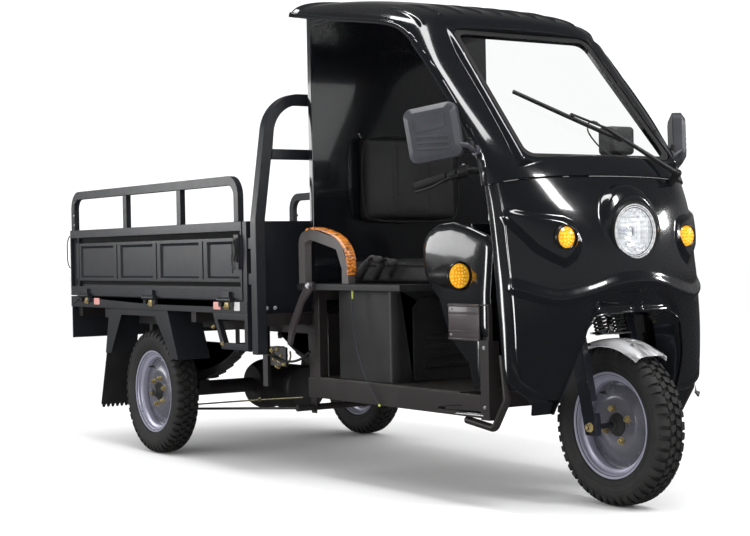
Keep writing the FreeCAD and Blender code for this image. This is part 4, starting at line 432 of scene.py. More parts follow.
# ---- cab shell: one smooth form, the same in the roof, the windshield frame and the nose
# Each profile: station and height on the centre line, at the door edge, half width, squareness.
shell_profiles = [
    (936, 1712, 936, 1648, 404, 0.10), (1080, 1701, 1080, 1621, 406, 0.10), (1240, 1681, 1240, 1594, 406, 0.10),
    (1400, 1653, 1385, 1570, 406, 0.10), (1520, 1628, 1490, 1552, 406, 0.10), (1610, 1605, 1560, 1537, 404, 0.09),
    (1675, 1583, 1612, 1517, 402, 0.08), (1712, 1562, 1650, 1492, 400, 0.06), (1732, 1535, 1690, 1458, 399, 0.04),
    (1762, 1490, 1737, 1412, 398, 0.02), (1800, 1440, 1782, 1365, 397, 0.0), (1862, 1372, 1838, 1305, 397, 0.0),
    (1945, 1285, 1910, 1222, 397, 0.0), (2022, 1205, 1966, 1150, 396, 0.0), (2085, 1135, 2006, 1092, 396, 0.01),
    (2140, 1075, 2026, 1042, 395, 0.025), (2183, 1018, 2036, 992, 395, 0.035), (2224, 945, 2047, 935, 395, 0.035),
    (2250, 885, 2056, 882, 395, 0.02), (2267, 825, 2065, 825, 395, 0.01), (2279, 760, 2074, 760, 396, 0.0),
    (2286, 695, 2083, 695, 397, 0.0), (2287, 630, 2091, 630, 398, 0.0), (2284, 560, 2100, 560, 398, 0.0),
    (2274, 500, 2107, 500, 398, 0.0), (2254, 440, 2115, 440, 398, 0.0), (2226, 385, 2122, 385, 398, 0.0),
    (2196, 335, 2129, 335, 398, 0.0), (2170, 292, 2134, 292, 398, 0.0),
]
brow_seam, cowl_seam, foot_line, seam_half = 7.9, 16, 28, 0.004
shell_sheet = 7
crease_line = [(0, 693), (50, 691), (90, 685), (130, 674), (170, 662), (220, 650), (268, 643), (294, 646),
               (333, 659), (360, 671), (400, 688)]
pod_outline = [(191, 815), (200, 849), (213, 877), (239, 891), (275, 898), (314, 904), (363, 919), (377, 916),
               (388, 897), (384, 878), (365, 847), (330, 792), (290, 763), (252, 742), (218, 765), (200, 794)]
visor_outline = [(0, 677), (83, 671), (129, 655), (156, 641), (170, 625), (185, 604), (188, 570), (0, 570)]
panel_outline = [(0, 1100), (386, 1100), (386, 500), (384, 455), (368, 406), (333, 379), (283, 364), (239, 360),
                 (0, 360)]
bead_outline = [(0, 1100), (430, 1100), (430, 500), (399, 476), (396, 411), (377, 377), (330, 352), (264, 346),
                (0, 346)]
cowl_outline = [(0, 1018), (134, 1018), (248, 1023), (279, 1031), (297, 1057), (300, 1110), (0, 1110)]
corner_outline = [(450, 478), (399, 476), (396, 411), (379, 377), (345, 354), (318, 330), (305, 240), (450, 240)]
hood_centre, hood_reach, hood_face, lamp_centre, lamp_reach = 874, 124, 2264, 846, 94
pocket_middle, pocket_round, pocket_near, pocket_far = 621, 16, 12, 153
crease_height, crease_above, crease_below, crease_end = 9, 38, 20, 392
pod_height, panel_groove, bead_step, cowl_step, visor_step, pocket_step = 13, 3, 13, 5, 14, 8
roof_ridges, ridge_height, ridge_half, roof_roll = (35, 110, 190, 270, 345), 5.5, 11, 8
door_lip, border_height, border_near, border_far = 6, 7, 18, 38
headlamp_eye, signal_eye, wing_pocket = 82, 37, 47
signal_x, signal_y, signal_z = 2236, 248, 831
side_lamp_x, side_lamp_y, side_lamp_z = 1907, 402, 719
glass_foot, glass_head = Vector((2100, 0, 1084)), Vector((1738, 0, 1490))
glass_up = (glass_head - glass_foot).normalized()
glass_out = Vector((glass_up.z, 0, -glass_up.x))
glass_run = (glass_head - glass_foot).length
glass_half_low, glass_half_high = 285, 266


def along(table, value):
    """Straight reading of a table of places and heights."""
    for (a0, b0), (a1, b1) in zip(table, table[1:]):
        if value <= a1:
            return b0 + (b1 - b0) * (value - a0) / (a1 - a0)
    return table[-1][1]


def beyond(a, z, outline):
    """Distance outside an outline, negative inside it."""
    best, inside = 1e9, False
    for (a0, z0), (a1, z1) in zip(outline, outline[1:] + outline[:1]):
        da, dz = a1 - a0, z1 - z0
        share = min(1, max(0, ((a - a0) * da + (z - z0) * dz) / (da * da + dz * dz)))
        best = min(best, math.hypot(a - a0 - da * share, z - z0 - dz * share))
        if (z0 > z) != (z1 > z) and a < a0 + da * (z - z0) / dz:
            inside = not inside
    return -best if inside else best


def shell_profile(t):
    """Profile values between two stations, on a smooth line through all."""
    last = len(shell_profiles) - 1
    i = min(int(t), last - 1)
    f = t - i
    here, ahead = shell_profiles[i], shell_profiles[i + 1]
    back = shell_profiles[i - 1] if i else [2 * p - q for p, q in zip(here, ahead)]
    after = shell_profiles[i + 2] if i + 2 <= last else [2 * q - p for p, q in zip(here, ahead)]
    return [p1 + (p2 - p0) * f / 2 + (2 * p0 - 5 * p1 + 4 * p2 - p3) * f ** 2 / 2
            + (3 * p1 - p0 - 3 * p2 + p3) * f ** 3 / 2 for p0, p1, p2, p3 in zip(back, here, ahead, after)]


def shell_point(turn, profile):
    """Point of the plain shell, from the right door edge over to the left one."""
    cx, cz, ex, ez, half, square = profile
    rise = (math.sin(turn) + square * math.sin(3 * turn)) / (1 - square)
    return Vector((ex + (cx - ex) * rise, -half * math.cos(turn), ez + (cz - ez) * rise))


def nose_relief(p):
    """How far the nose stands off the plain shell: crease, lamp pods, hood, bead and panels."""
    a, z = abs(p.y), p.z
    over = z - along(crease_line, a)
    lift = crease_height * (1 - smooth(0, crease_above if over > 0 else crease_below, abs(over)))
    lift *= 1 - smooth(crease_end - 20, crease_end, a)
    if a > 170 and 720 < z < 940:
        lift += pod_height * (1 - smooth(-20, 3, beyond(a, z, pod_outline)))
    outer = hood_reach - math.hypot(a, z - hood_centre)
    if outer > 0:
        bezel = max(0, math.hypot(a, z - lamp_centre) - lamp_reach)
        near = outer / (outer + bezel)
        lift += max(0, hood_face - p.x) * (0.22 + 0.78 * near) * smooth(0, 26, outer)
    if z < 520 or a > 370:
        lift -= panel_groove * (1 - smooth(2, 7, abs(beyond(a, z, panel_outline))))
        lift -= bead_step * smooth(0, 18, beyond(a, z, bead_outline))
    if z > 1000:
        lift -= cowl_step * (1 - smooth(-14, 2, beyond(a, z, cowl_outline)))
    if a < 200 and 560 < z < 690:
        lift -= visor_step * (1 - smooth(-18, 0, beyond(a, z, visor_outline)))
        pocket = math.hypot(max(pocket_near + pocket_round - a, a - pocket_far + pocket_round, 0), z - pocket_middle)
        lift -= pocket_step * (1 - smooth(-14, 0, pocket - pocket_round))
    return lift


def roof_relief(p):
    """Ridges towards the brow and the rolled rear edge."""
    spread = 1 + 0.05 * smooth(1430, 1690, p.x)
    near = min(abs(abs(p.y) - line * spread) for line in roof_ridges)
    ridge = ridge_height * (1 - smooth(2, ridge_half, near)) * smooth(1430, 1580, p.x) * (1 - smooth(1668, 1690, p.x))
    return ridge + roof_roll * (1 - smooth(940, 972, p.x))


def glass_place(p):
    """Distance along the glass, off its face, and beside its outline."""
    up, off = (p - glass_foot).dot(glass_up), (p - glass_foot).dot(glass_out)
    half = glass_half_low + (glass_half_high - glass_half_low) * up / glass_run
    return off, max(abs(p.y) - half, -up, up - glass_run)


def frame_relief(p):
    """Flat border round the windshield, standing proud of its plane."""
    off, beside = glass_place(p)
    if beside > border_far:
        return 0
    fade = 1 if off < border_height else smooth(border_far, 10, beside) or 1
    return (border_height - off) * (1 - smooth(border_near, border_far, beside)) * fade


def shell_sheet_mesh(low, high, columns, rows, relief, lip=True):
    """Outer skin of the shell between two profile places, with its relief and its door lip."""
    mesh = bmesh.new()
    bmesh.ops.create_grid(mesh, x_segments=columns, y_segments=rows, size=1)
    step = 0.01
    cache = {}
    for vert in mesh.verts:
        turn = math.pi * (vert.co.x + 1) / 2
        t = low + (high - low) * (vert.co.y + 1) / 2
        key = round(t, 6)
        if key not in cache:
            mid = min(foot_line - step, max(step, t))
            cache[key] = (shell_profile(t), shell_profile(mid + step), shell_profile(mid - step))
        here, after, before = cache[key]
        near = min(math.pi - step, max(step, turn))
        across = shell_point(near + step, here) - shell_point(near - step, here)
        down = shell_point(near, after) - shell_point(near, before)
        normal = down.cross(across).normalized()
        base = shell_point(turn, here)
        lift = relief(base)
        if lip and t <= cowl_seam:
            edge = shell_point(0 if turn < math.pi / 2 else math.pi, here)
            lift += door_lip * (1 - smooth(11, 16, (base - edge).length))
        vert.co = P(*(base + normal * lift))
    return mesh


def thicken(mesh, depth=shell_sheet):
    """Give an open skin its wall inwards."""
    bmesh.ops.recalc_face_normals(mesh, faces=mesh.faces)
    middle = sum((v.co for v in mesh.verts), Vector()) / len(mesh.verts)
    probe = max(mesh.faces, key=lambda f: f.calc_center_median().z)
    if probe.normal.dot(probe.calc_center_median() - middle) < 0:
        bmesh.ops.reverse_faces(mesh, faces=mesh.faces)
    bmesh.ops.solidify(mesh, geom=mesh.faces[:], thickness=depth / 1000)


def cut_with(thing, *cutters, solver="FAST"):
    """Cut closed shapes out of a piece and remove them."""
    for cutter in cutters:
        knife = thing.modifiers.new("cut", "BOOLEAN")
        knife.operation, knife.solver, knife.object = "DIFFERENCE", solver, cutter
    bpy.context.view_layer.update()
    shape = thing.evaluated_get(bpy.context.evaluated_depsgraph_get())
    data = bpy.data.meshes.new_from_object(shape)
    thing.modifiers.clear()
    thing.data = data
    for cutter in cutters:
        bpy.data.objects.remove(cutter)
    mesh = bmesh.new()
    mesh.from_mesh(data)
    shade(mesh, 35)
    mesh.to_mesh(data)
    mesh.free()
    return thing


def circle(radius, count):
    """Circle that faces forward, as points round its centre."""
    turns = [2 * math.pi * i / count for i in range(count)]
    return [(0, radius * math.cos(turn), radius * math.sin(turn)) for turn in turns]


def cutter(outline, start, along_line):
    """Closed prism on an outline of points of the drawing."""
    mesh = bmesh.new()
    face = mesh.faces.new([mesh.verts.new(P(*(Vector(start) + Vector(p)))) for p in outline])
    made = bmesh.ops.extrude_face_region(mesh, geom=[face])["geom"]
    far_end = [g for g in made if isinstance(g, bmesh.types.BMVert)]
    bmesh.ops.translate(mesh, vec=Vector(along_line) / 1000, verts=far_end)
    bmesh.ops.recalc_face_normals(mesh, faces=mesh.faces)
    data = bpy.data.meshes.new("knife")
    mesh.to_mesh(data)
    mesh.free()
    knife = bpy.data.objects.new("knife", data)
    bpy.context.collection.objects.link(knife)
    return knife


def rounded_outline(corners, radius, steps=6):
    """Outline in two numbers with its corners rounded."""
    points = []
    count = len(corners)
    for i, corner in enumerate(corners):
        here = Vector(corner)
        before, after = Vector(corners[i - 1]), Vector(corners[(i + 1) % count])
        start = here + (before - here).normalized() * radius
        end = here + (after - here).normalized() * radius
        for s in range(steps + 1):
            f = s / steps
            points.append(tuple(start * (1 - f) ** 2 + here * 2 * f * (1 - f) + end * f ** 2))
    return points


def glass_ring(margin, off, bend):
    """Outline round the windshield at a margin, at a distance from its face."""
    low, high = glass_half_low + margin, glass_half_high + margin
    corners = [(-low, -margin), (low, -margin), (high, glass_run + margin), (-high, glass_run + margin)]
    return [glass_foot + Vector((0, y, 0)) + glass_up * s + glass_out * off
            for y, s in rounded_outline(corners, bend)]


def cab_shell():
    """Roof, windshield frame and the channel round the glass."""
    roof = shell_sheet_mesh(0, brow_seam - seam_half, 150, 96, roof_relief)
    thicken(roof)
    piece("roof_shell", roof, gloss_black, "chassis", "gloss_shell", "cab_roof")

    frame_skin = shell_sheet_mesh(brow_seam + seam_half, cowl_seam - seam_half, 240, 150, frame_relief)
    thicken(frame_skin)
    surround = piece("windshield_surround", frame_skin, gloss_black, "chassis", "gloss_shell", "windshield_frame")
    cut_with(surround, cutter(glass_ring(22, -90, 42), (0, 0, 0), glass_out * 200))
    channel = bmesh.new()
    rings = []
    for margin, off in ((22, 3), (21.5, 7.4), (24, 7.9), (24, 4), (24, -17), (14, -17), (14, 0), (22, 0), (22, 3)):
        ring = [channel.verts.new(P(*p)) for p in glass_ring(margin, off, 42)]
        if rings:
            for i in range(len(ring)):
                channel.faces.new((rings[-1][i - 1], rings[-1][i], ring[i], ring[i - 1]))
        rings.append(ring)
    bmesh.ops.remove_doubles(channel, verts=channel.verts, dist=0.00005)
    bmesh.ops.recalc_face_normals(channel, faces=channel.faces)
    piece("windshield_channel", channel, gloss_black, "chassis", "gloss_shell", weighted=True)


arch_front = [(0, 600), (110, 600), (150, 591), (172, 575), (191, 555), (200, 519), (213, 485), (227, 425), (235, 366),
              (243, 280), (243, 200), (0, 200)]


def nose_x(a, z):
    """Station of the nose's plain face at a half width and height below the lamps."""
    table = [(row[3], row) for row in shell_profiles[18:]][::-1]
    rise = math.sqrt(max(0, 1 - (a / 398) ** 2))
    return along([(height, row[2] + (row[0] - row[2]) * rise) for height, row in table], z)


def smooth_line(points, steps=5):
    """Smooth open line through points in two numbers."""
    line = []
    for i in range(len(points) - 1):
        p0, p1, p2, p3 = (Vector(points[min(len(points) - 1, max(0, j))]) for j in range(i - 1, i + 3))
        for s in range(steps):
            f = s / steps
            line.append(tuple(p1 + (p2 - p0) * (f / 2) + (2 * p0 - 5 * p1 + 4 * p2 - p3) * (f * f / 2)
                              + (3 * p1 - p0 - 3 * p2 + p3) * (f ** 3 / 2)))
    return line + [tuple(points[-1])]


def front_nose():
    """Nose with its arch, the rolled bead round the arch and the wall behind it."""
    skin = shell_sheet_mesh(cowl_seam + seam_half, foot_line, 224, 190, nose_relief, lip=False)
    thicken(skin)
    nose = piece("nose_shell", skin, gloss_black, "chassis", "gloss_shell", "front_fairing")
    half = smooth_line(arch_front[1:-2], 4)
    arch = half + [(half[-1][0], 200)]
    outline = [(0, a, z) for a, z in arch] + [(0, -a, z) for a, z in arch[::-1]]
    corners = [cutter([(0, side * a, z) for a, z in corner_outline], (1850, 0, 0), (550, 0, 0)) for side in (-1, 1)]
    eye = cutter(circle(headlamp_eye, 60), (2100, 0, lamp_centre), (300, 0, 0))
    eyes = [cutter(circle(signal_eye, 60), (2120, side * signal_y, signal_z), (250, 0, 0)) for side in (-1, 1)]
    cut_with(nose, cutter(outline, (1950, 0, 0), (450, 0, 0)), eye, *corners, *eyes)
    wall = bmesh.new()
    line = [p for p in half if p[1] > 296]
    rings = []
    path = [(-a, z) for a, z in line[::-1]] + line
    for back, outward, ahead in ((0, 0, 2.5), (0, 3.5, 3.2), (0, 6.5, 1.5), (0, 7, -3), (0, 1, -6), (0.3, 0, 0),
                                 (1, 0, 0), (1, 4, 0), (0.3, 4, 0), (0, 3, -6), (0, 0, 2.5)):
        ring = []
        for a, z in path:
            side = -1 if a < 0 else 1
            share = abs(a) / 243
            away = Vector((side * abs(a), max(0, z - 430) * 0.6)).normalized()
            face = nose_x(abs(a), z)
            relief = nose_relief(Vector((face, abs(a), z))) * 0.5 if ahead else 0
            inward = back * share * (46 * min(1, max(0, (z - 300) / 250)) + 18)
            down = back * 16 * (1 - share * 0.5) * smooth(480, 600, z)
            ring.append(wall.verts.new(P(face + relief + ahead - back * 66, a + away.x * outward - side * inward,
                                         z + away.y * outward - down)))
        if rings:
            for i in range(len(ring) - 1):
                wall.faces.new((rings[-1][i], rings[-1][i + 1], ring[i + 1], ring[i]))
        rings.append(ring)
    bmesh.ops.remove_doubles(wall, verts=wall.verts, dist=0.00002)
    bmesh.ops.holes_fill(wall, edges=[e for e in wall.edges if len(e.link_faces) == 1])
    bmesh.ops.recalc_face_normals(wall, faces=wall.faces)
    piece("arch_wall", wall, gloss_black, "chassis", "gloss_shell", limit=50, weighted=True)


cab_shell()
front_nose()


# ---- wheels
rear_wheel_y, wheel_height, front_axle = 491.5, 250, 2181
tread_pitches, tread_radius = 46, 250
nut_ring, valve_ring, valve_angle = 53, 118, 2.2


def tyre_piece(node, x, y, body):
    """Tyre with sidewall rings, tread base, staggered centre blocks and shoulder lugs."""
    mesh = bmesh.new()
    centre, axis = (x, y, wheel_height), (0, 1, 0)
    flank = [(36, 156), (37.5, 163), (39, 168.5), (42, 171), (43.5, 176), (45.5, 181), (46.2, 184), (45.4, 185.2),
             (46.4, 187), (48.2, 194), (49, 201), (49.4, 206), (48.6, 207.5), (49.3, 209.5), (48.8, 215),
             (47.4, 222), (45, 230), (41, 234), (35, 237), (24, 238.8), (8, 239.4)]
    outline = flank + [(-a, r) for a, r in flank[::-1]]
    add_turned(mesh, outline, centre, axis, 96)
    turn = 2 * math.pi / tread_pitches
    # Each block: its section in half widths and radii, share of the pitch, slant over its width, start.
    blocks = [([(2.5, 249.6), (19, 249.2), (21, 236), (1, 236)], 0.58, 0.30, 0.0),
              ([(23.5, 248.6), (35, 246.6), (43.5, 241), (48.8, 231.5), (49.7, 222), (47.5, 220), (44, 228), (35, 235),
                (23, 236)], 0.52, -0.12, 0.42)]
    for side in (-1, 1):
        for section, share, slant, start in blocks:
            for i in range(tread_pitches):
                base = turn * (i + start + (0.5 if side > 0 else 0))
                wide = share * (1 if i % 2 or len(section) < 5 else 1.25)
                rims = []
                for end in (0, 1):
                    ring = []
                    for a, r in section:
                        lean = slant * (a - 12) / 30 * turn
                        draft = (0.5 - end) * (tread_radius - r) / tread_radius * 0.1
                        angle = base + lean + end * wide * turn - draft * turn * 3
                        ring.append(mesh.verts.new(P(x + math.sin(angle) * r, y + side * a,
                                                     wheel_height + math.cos(angle) * r)))
                    rims.append(ring)
                count = len(section)
                faces = [mesh.faces.new([rims[0][k], rims[0][k - 1], rims[1][k - 1], rims[1][k]]) for k in range(count)]
                faces += [mesh.faces.new(rims[0]), mesh.faces.new(rims[1][::-1])]
                bmesh.ops.recalc_face_normals(mesh, faces=faces)
    piece(node + "_treaded", mesh, tyre_black, body, "tyre", node, limit=32)


def rim_piece(node, x, y, out, disc, nuts, body):
    """Steel rim with rolled flanges, stepped barrel and dished disc, its hub and nuts."""
    mesh = bmesh.new()
    centre, axis = (x, y, wheel_height), (0, out, 0)
    flange = [(39, 160), (39.4, 164.6), (37.8, 166), (36, 164.6), (35.6, 157.5), (34, 155), (26, 154.2), (23, 152.6),
              (21, 149), (18.5, 141), (15, 139.2)]
    inner = [(a - 2.6 if a > 30 else a - 1.5, r - 2.6) for a, r in flange]
    barrel = flange + [(-a, r) for a, r in flange[::-1]] + [(-a, r) for a, r in inner] + inner[::-1]
    add_turned(mesh, barrel, centre, axis, 96)
    dish = disc - 16
    front_face = [(dish, 137), (dish - 1.5, 131), (dish - 1, 124), (dish + 1.5, 119), (dish + 6, 113), (disc - 4, 96),
                  (disc - 1, 89), (disc, 84), (disc, 66), (disc - 1.5, 60), (disc - 1.5, 36)]
    disc_outline = front_face + [(a - 4.5, r - (1 if r > 40 else 0)) for a, r in front_face[::-1]]
    piece(node + "_pressed", mesh, rim_silver, body, "rim", node, limit=34)
    dished = bmesh.new()
    add_turned(dished, disc_outline, centre, axis, 96)
    piece(node + "_disc", dished, disc_steel, body, "rim", limit=34)
    hub = bmesh.new()
    add_turned(hub, [(disc - 3, 1), (disc + 4, 1), (disc + 22, 1), (disc + 22, 17), (disc + 20.5, 19),
                     (disc + 14, 20.5), (disc + 10, 27), (disc + 4, 31), (disc + 2.5, 35), (disc - 3, 36)],
               centre, axis, 64)
    drum_radius = 92 if node.startswith("rear") else 78
    add_turned(hub, [(disc - 6, 20), (disc - 6, 46), (-34, 60), (-36, drum_radius - 5), (-38, drum_radius),
                     (-48, drum_radius), (-50, drum_radius - 3), (-50, 20)], centre, axis, 64)
    piece(node + "_hub", hub, spring_black, body, "rim")
    bolts = bmesh.new()
    face = y + out * (disc - 1)
    for i in range(nuts):
        angle = 2 * math.pi * (i + 0.25) / nuts
        spot = (x + nut_ring * math.cos(angle), face, wheel_height + nut_ring * math.sin(angle))
        add_nut(bolts, spot, axis, 19 if nuts < 5 else 17, 11, 5)
    piece(node + "_nuts", bolts, yellow_zinc, body, "zinc_steel")
    valve = bmesh.new()
    spot = Vector((x + valve_ring * math.cos(valve_angle), y + out * (dish + 2),
                   wheel_height + valve_ring * math.sin(valve_angle)))
    add_rod(valve, spot, spot + Vector((0, out * 22, 0)), 3.6, 3, chamfer=0.5)
    piece(node + "_valve", valve, rubber_black, body, "tyre")


for side, word in sides:
    tyre_piece(f"rear_{word}_tyre", 0, side * rear_wheel_y, f"rear_{word}_wheel")
    rim_piece(f"rear_{word}_rim", 0, side * rear_wheel_y, side, 14, 6, f"rear_{word}_wheel")
tyre_piece("front_tyre", front_axle, 0, "front_wheel")
rim_piece("front_rim", front_axle, 0, -1, 8, 4, "front_wheel")


# ---- lamps
def headlamp_pieces():
    """Headlamp: bezel, bowl with its bulb shield, and fluted lens."""
    centre, axis = (hood_face, 0, lamp_centre), (1, 0, 0)
    bezel = bmesh.new()
    add_turned(bezel, [(-6, 94), (1, 94), (4.5, 92), (6.5, 88.5), (6, 85.5), (3.5, 84), (-6, 84)], centre, axis, 96)
    piece("headlamp_bezel", bezel, lamp_seal, "chassis", "black_plastic", "headlamp")
    # Two bright rings with painted glow, and a black band in the groove beside each: painted shade for the dark lines
    # the grooves show.
    ring, groove_shade = bmesh.new(), bmesh.new()
    for inner, outer, crest in ((79.5, 84, 7.8), (73.5, 77.5, 7)):
        add_turned(ring, [(2, outer), (crest - 1.5, outer - 0.2), (crest, outer - 1.4), (crest - 0.3, inner + 1),
                          (crest - 2, inner), (2, inner)], centre, axis, 96)
        add_turned(groove_shade, [(1.5, inner + 0.5), (3.8, inner + 0.2), (3.8, inner - 2), (1.5, inner - 2)], centre, axis, 96)
    piece("headlamp_bright_ring", ring, painted_glow_chrome, "chassis", "bright_chrome")
    piece("headlamp_ring_groove_shade", groove_shade, lamp_seal, "chassis", "black_plastic")
    bowl = bmesh.new()
    outline = [(-4 - 58 * (1 - (r / 80) ** 2), r) for r in range(80, 7, -8)]
    add_turned(bowl, outline + [(a - 2, max(4, r - 1)) for a, r in outline[::-1]], centre, axis, 96)
    piece("headlamp_bowl", bowl, painted_glow_chrome, "chassis", "bright_chrome")
    housing = bmesh.new()
    add_turned(housing, [(a - 3, r + 1) for a, r in outline] + [(a - 5, max(4, r)) for a, r in outline[::-1]],
               centre, axis, 96)
    piece("headlamp_housing", housing, lamp_seal, "chassis", "black_plastic")
    shield = bmesh.new()
    add_turned(shield, [(-60, 0.5), (-60, 9), (-30, 9), (-24, 16), (-18, 17), (-14, 12), (-12, 0.5)],
               centre, axis, 48, closed=False)
    piece("headlamp_bulb_shield", shield, chrome, "chassis", "bright_chrome")
    lens = bmesh.new()
    dome = [(12 - 0.0018 * r * r, r) for r in (0.2, 10, 22, 34, 46, 56, 64, 72)]
    add_turned(lens, dome + [(a - 3, r) for a, r in dome[::-1]], centre, axis, 96)
    piece("headlamp_lens", lens, headlamp_glass, "chassis", "lamp_glass")


headlamp_pieces()


def amber_lamp(name, centre, radius, bulge, dots, back, *replaced):
    """Round amber lamp: dark ring with its housing, domed lens and its light dots."""
    x, y, z = centre
    ring = bmesh.new()
    add_turned(ring, [(-8, radius), (2, radius), (4, radius - 1.2), (4.6, radius - 3.5), (3, radius - 6),
                      (-8, radius - 6)], centre, (1, 0, 0), 64)
    add_turned(ring, [(-8, radius - 0.5), (-20, radius - 4), (back * 0.5, radius * 0.86), (back, radius * 0.5),
                      (back, 1), (-8, 1)], centre, (1, 0, 0), 64)
    piece(name + "_ring", ring, lamp_seal, "chassis", "black_plastic", *replaced)
    lens = bmesh.new()
    size = radius - 5.5
    dome = [(bulge * (1 - (r / size) ** 2) + 1.5, max(0.2, r)) for r in [size * s / 8 for s in range(9)]]
    add_turned(lens, dome + [(-4, size), (-4, 0.2)], centre, (1, 0, 0), 64)
    piece(name + "_lens", lens, amber, "chassis", "amber_lens")
    glow = bmesh.new()
    for ring_radius, count in dots:
        for i in range(count):
            angle = 2 * math.pi * i / count
            rise = bulge * (1 - (ring_radius / size) ** 2) + 1.2
            spot = (x + rise, y + ring_radius * math.cos(angle), z + ring_radius * math.sin(angle))
            made = bmesh.ops.create_icosphere(glow, subdivisions=1, radius=0.0024)["verts"]
            bmesh.ops.translate(glow, vec=P(*spot), verts=made)
    piece(name + "_dots", glow, led_dot, "chassis", "amber_lens")


for side, word in sides:
    amber_lamp(f"signal_{word}", (signal_x, side * signal_y, signal_z), 38, 10, ((24, 12), (15, 8), (6, 4)), -50,
               *(("turn_signals",) if side < 0 else ()))
    amber_lamp(f"side_lamp_{word}", (side_lamp_x, side * side_lamp_y, side_lamp_z), 44.5, 9,
               ((30, 14), (20, 10), (10, 6)), -130, *(("side_lamps",) if side < 0 else ()))


# ---- steered parts
def helix(mesh, low, high, radius, wire, turns):
    """Coil spring between two points of the drawing."""
    low, high = P(*low), P(*high)
    axis = (high - low).normalized()
    side = axis.orthogonal().normalized()
    ring = bmesh.ops.create_circle(mesh, cap_ends=False, segments=8, radius=wire / 1000)["verts"]
    turn = axis.to_track_quat("Y", "X").to_matrix()
    bmesh.ops.rotate(mesh, cent=(0, 0, 0), matrix=turn, verts=ring)
    frame_turn = Matrix((side, axis, side.cross(axis))).transposed()
    for vert in ring:
        local = turn.inverted() @ vert.co
        vert.co = low + frame_turn @ Vector((local.x + radius / 1000, local.y, 0))
    steps = turns * 20
    edges = once(e for v in ring for e in v.link_edges)
    bmesh.ops.spin(mesh, geom=ring + edges, cent=low, axis=axis, dvec=(high - low) / steps,
                   angle=2 * math.pi * turns, steps=steps)


def shock_pieces():
    """Two coil springs on their dampers over a yoke, with the post between them."""
    coils, dampers = bmesh.new(), bmesh.new()
    for side in (-1, 1):
        foot, head = (2152, side * 38, 541), (2137, side * 38, 584)
        helix(coils, foot, head, 18.5, 3.6, 4)
        add_rod(dampers, (2152, side * 38, 537), (2137, side * 38, 589), 9)
        add_rod(dampers, (2153, side * 38, 535), (2150, side * 38, 541), 22, chamfer=1)
        add_rod(dampers, (2139, side * 38, 584), (2137, side * 38, 589.5), 22, chamfer=1)
    add_block(dampers, (2122, -61, 530), (2182, 61, 536.5), 2)
    piece("shock_springs", coils, spring_black, "steering", "bright_chrome", "front_shocks")
    add_rod(dampers, (2152, 0, 536), (2136, 0, 588), 8.5, chamfer=1)
    piece("shock_dampers", dampers, chrome, "steering", "bright_chrome")


def fender_piece():
    """Chrome fender: crowned band with rolled edges, flared at its front, and its studs' washers."""
    mesh = bmesh.new()
    section = [(-59, 243), (-60.5, 245.5), (-59.5, 248), (-57, 249), (-56, 255), (-52, 261), (-44, 265), (-30, 267),
               (-12, 268)]
    section += [(-y, r) for y, r in section[::-1]]
    line = [mesh.verts.new(P(front_axle, y, wheel_height + r)) for y, r in section]
    edges = [mesh.edges.new(pair) for pair in zip(line, line[1:])]
    turn = Matrix.Rotation(math.radians(36), 3, "Y")
    centre = P(front_axle, 0, wheel_height)
    bmesh.ops.rotate(mesh, cent=centre, matrix=turn, verts=line)
    bmesh.ops.spin(mesh, geom=line + edges, cent=centre, axis=(0, -1, 0), angle=math.radians(96), steps=48)
    for vert in mesh.verts:
        place = vert.co - centre
        angle = math.atan2(place.x, place.z)
        flare = smooth(math.radians(24), math.radians(36), angle)
        vert.co.y *= 1 + 0.04 * flare
        vert.co += place.normalized() * (0.005 * flare)
    bmesh.ops.recalc_face_normals(mesh, faces=mesh.faces)
    bmesh.ops.solidify(mesh, geom=mesh.faces[:], thickness=0.0022)
    piece("fender_polished", mesh, fender_painted_sheen, "steering", "bright_chrome", "front_fender")
    clip = bmesh.new()
    add_turned(clip, [(-2.2, 6), (0, 8.4), (2.2, 6), (0, 3.8)], (2279, -30, 497), (0, 1, 0), 32)
    add_nut(clip, (2118, -119, 498), (0, -1, 0), 13, 8, 3)
    add_nut(clip, (2118, 119, 498), (0, 1, 0), 13, 8, 3)
    piece("fender_clip", clip, zinc, "steering", "zinc_steel")


def fork_details():
    """Axle nuts, bracket at the top of each leg and pinch bolts."""
    nuts, bracket = bmesh.new(), bmesh.new()
    for side in (-1, 1):
        add_nut(nuts, (front_axle, side * 118.5, wheel_height), (0, side, 0), 24, 12, 2)
        add_block(bracket, (2062, side * 118.2, 560), (2106, side * 123, 600), 1.5)
        for z in (570, 590):
            add_nut(nuts, (2084, side * 123, z), (0, side, 0), 12, 7, 2)
    piece("fork_nuts", nuts, yellow_zinc, "steering", "zinc_steel")
    piece("fork_brackets", bracket, zinc, "steering", "zinc_steel", weighted=True)


shock_pieces()
fender_piece()
fork_details()
softened("fork", fork_black, "chassis_paint", 2)


# ---- seats and the driver's place
even_mesh, seam_half_width = 0.007, 0.007
cloth_pressure, cloth_quality, cloth_frames = 4, 4, 20


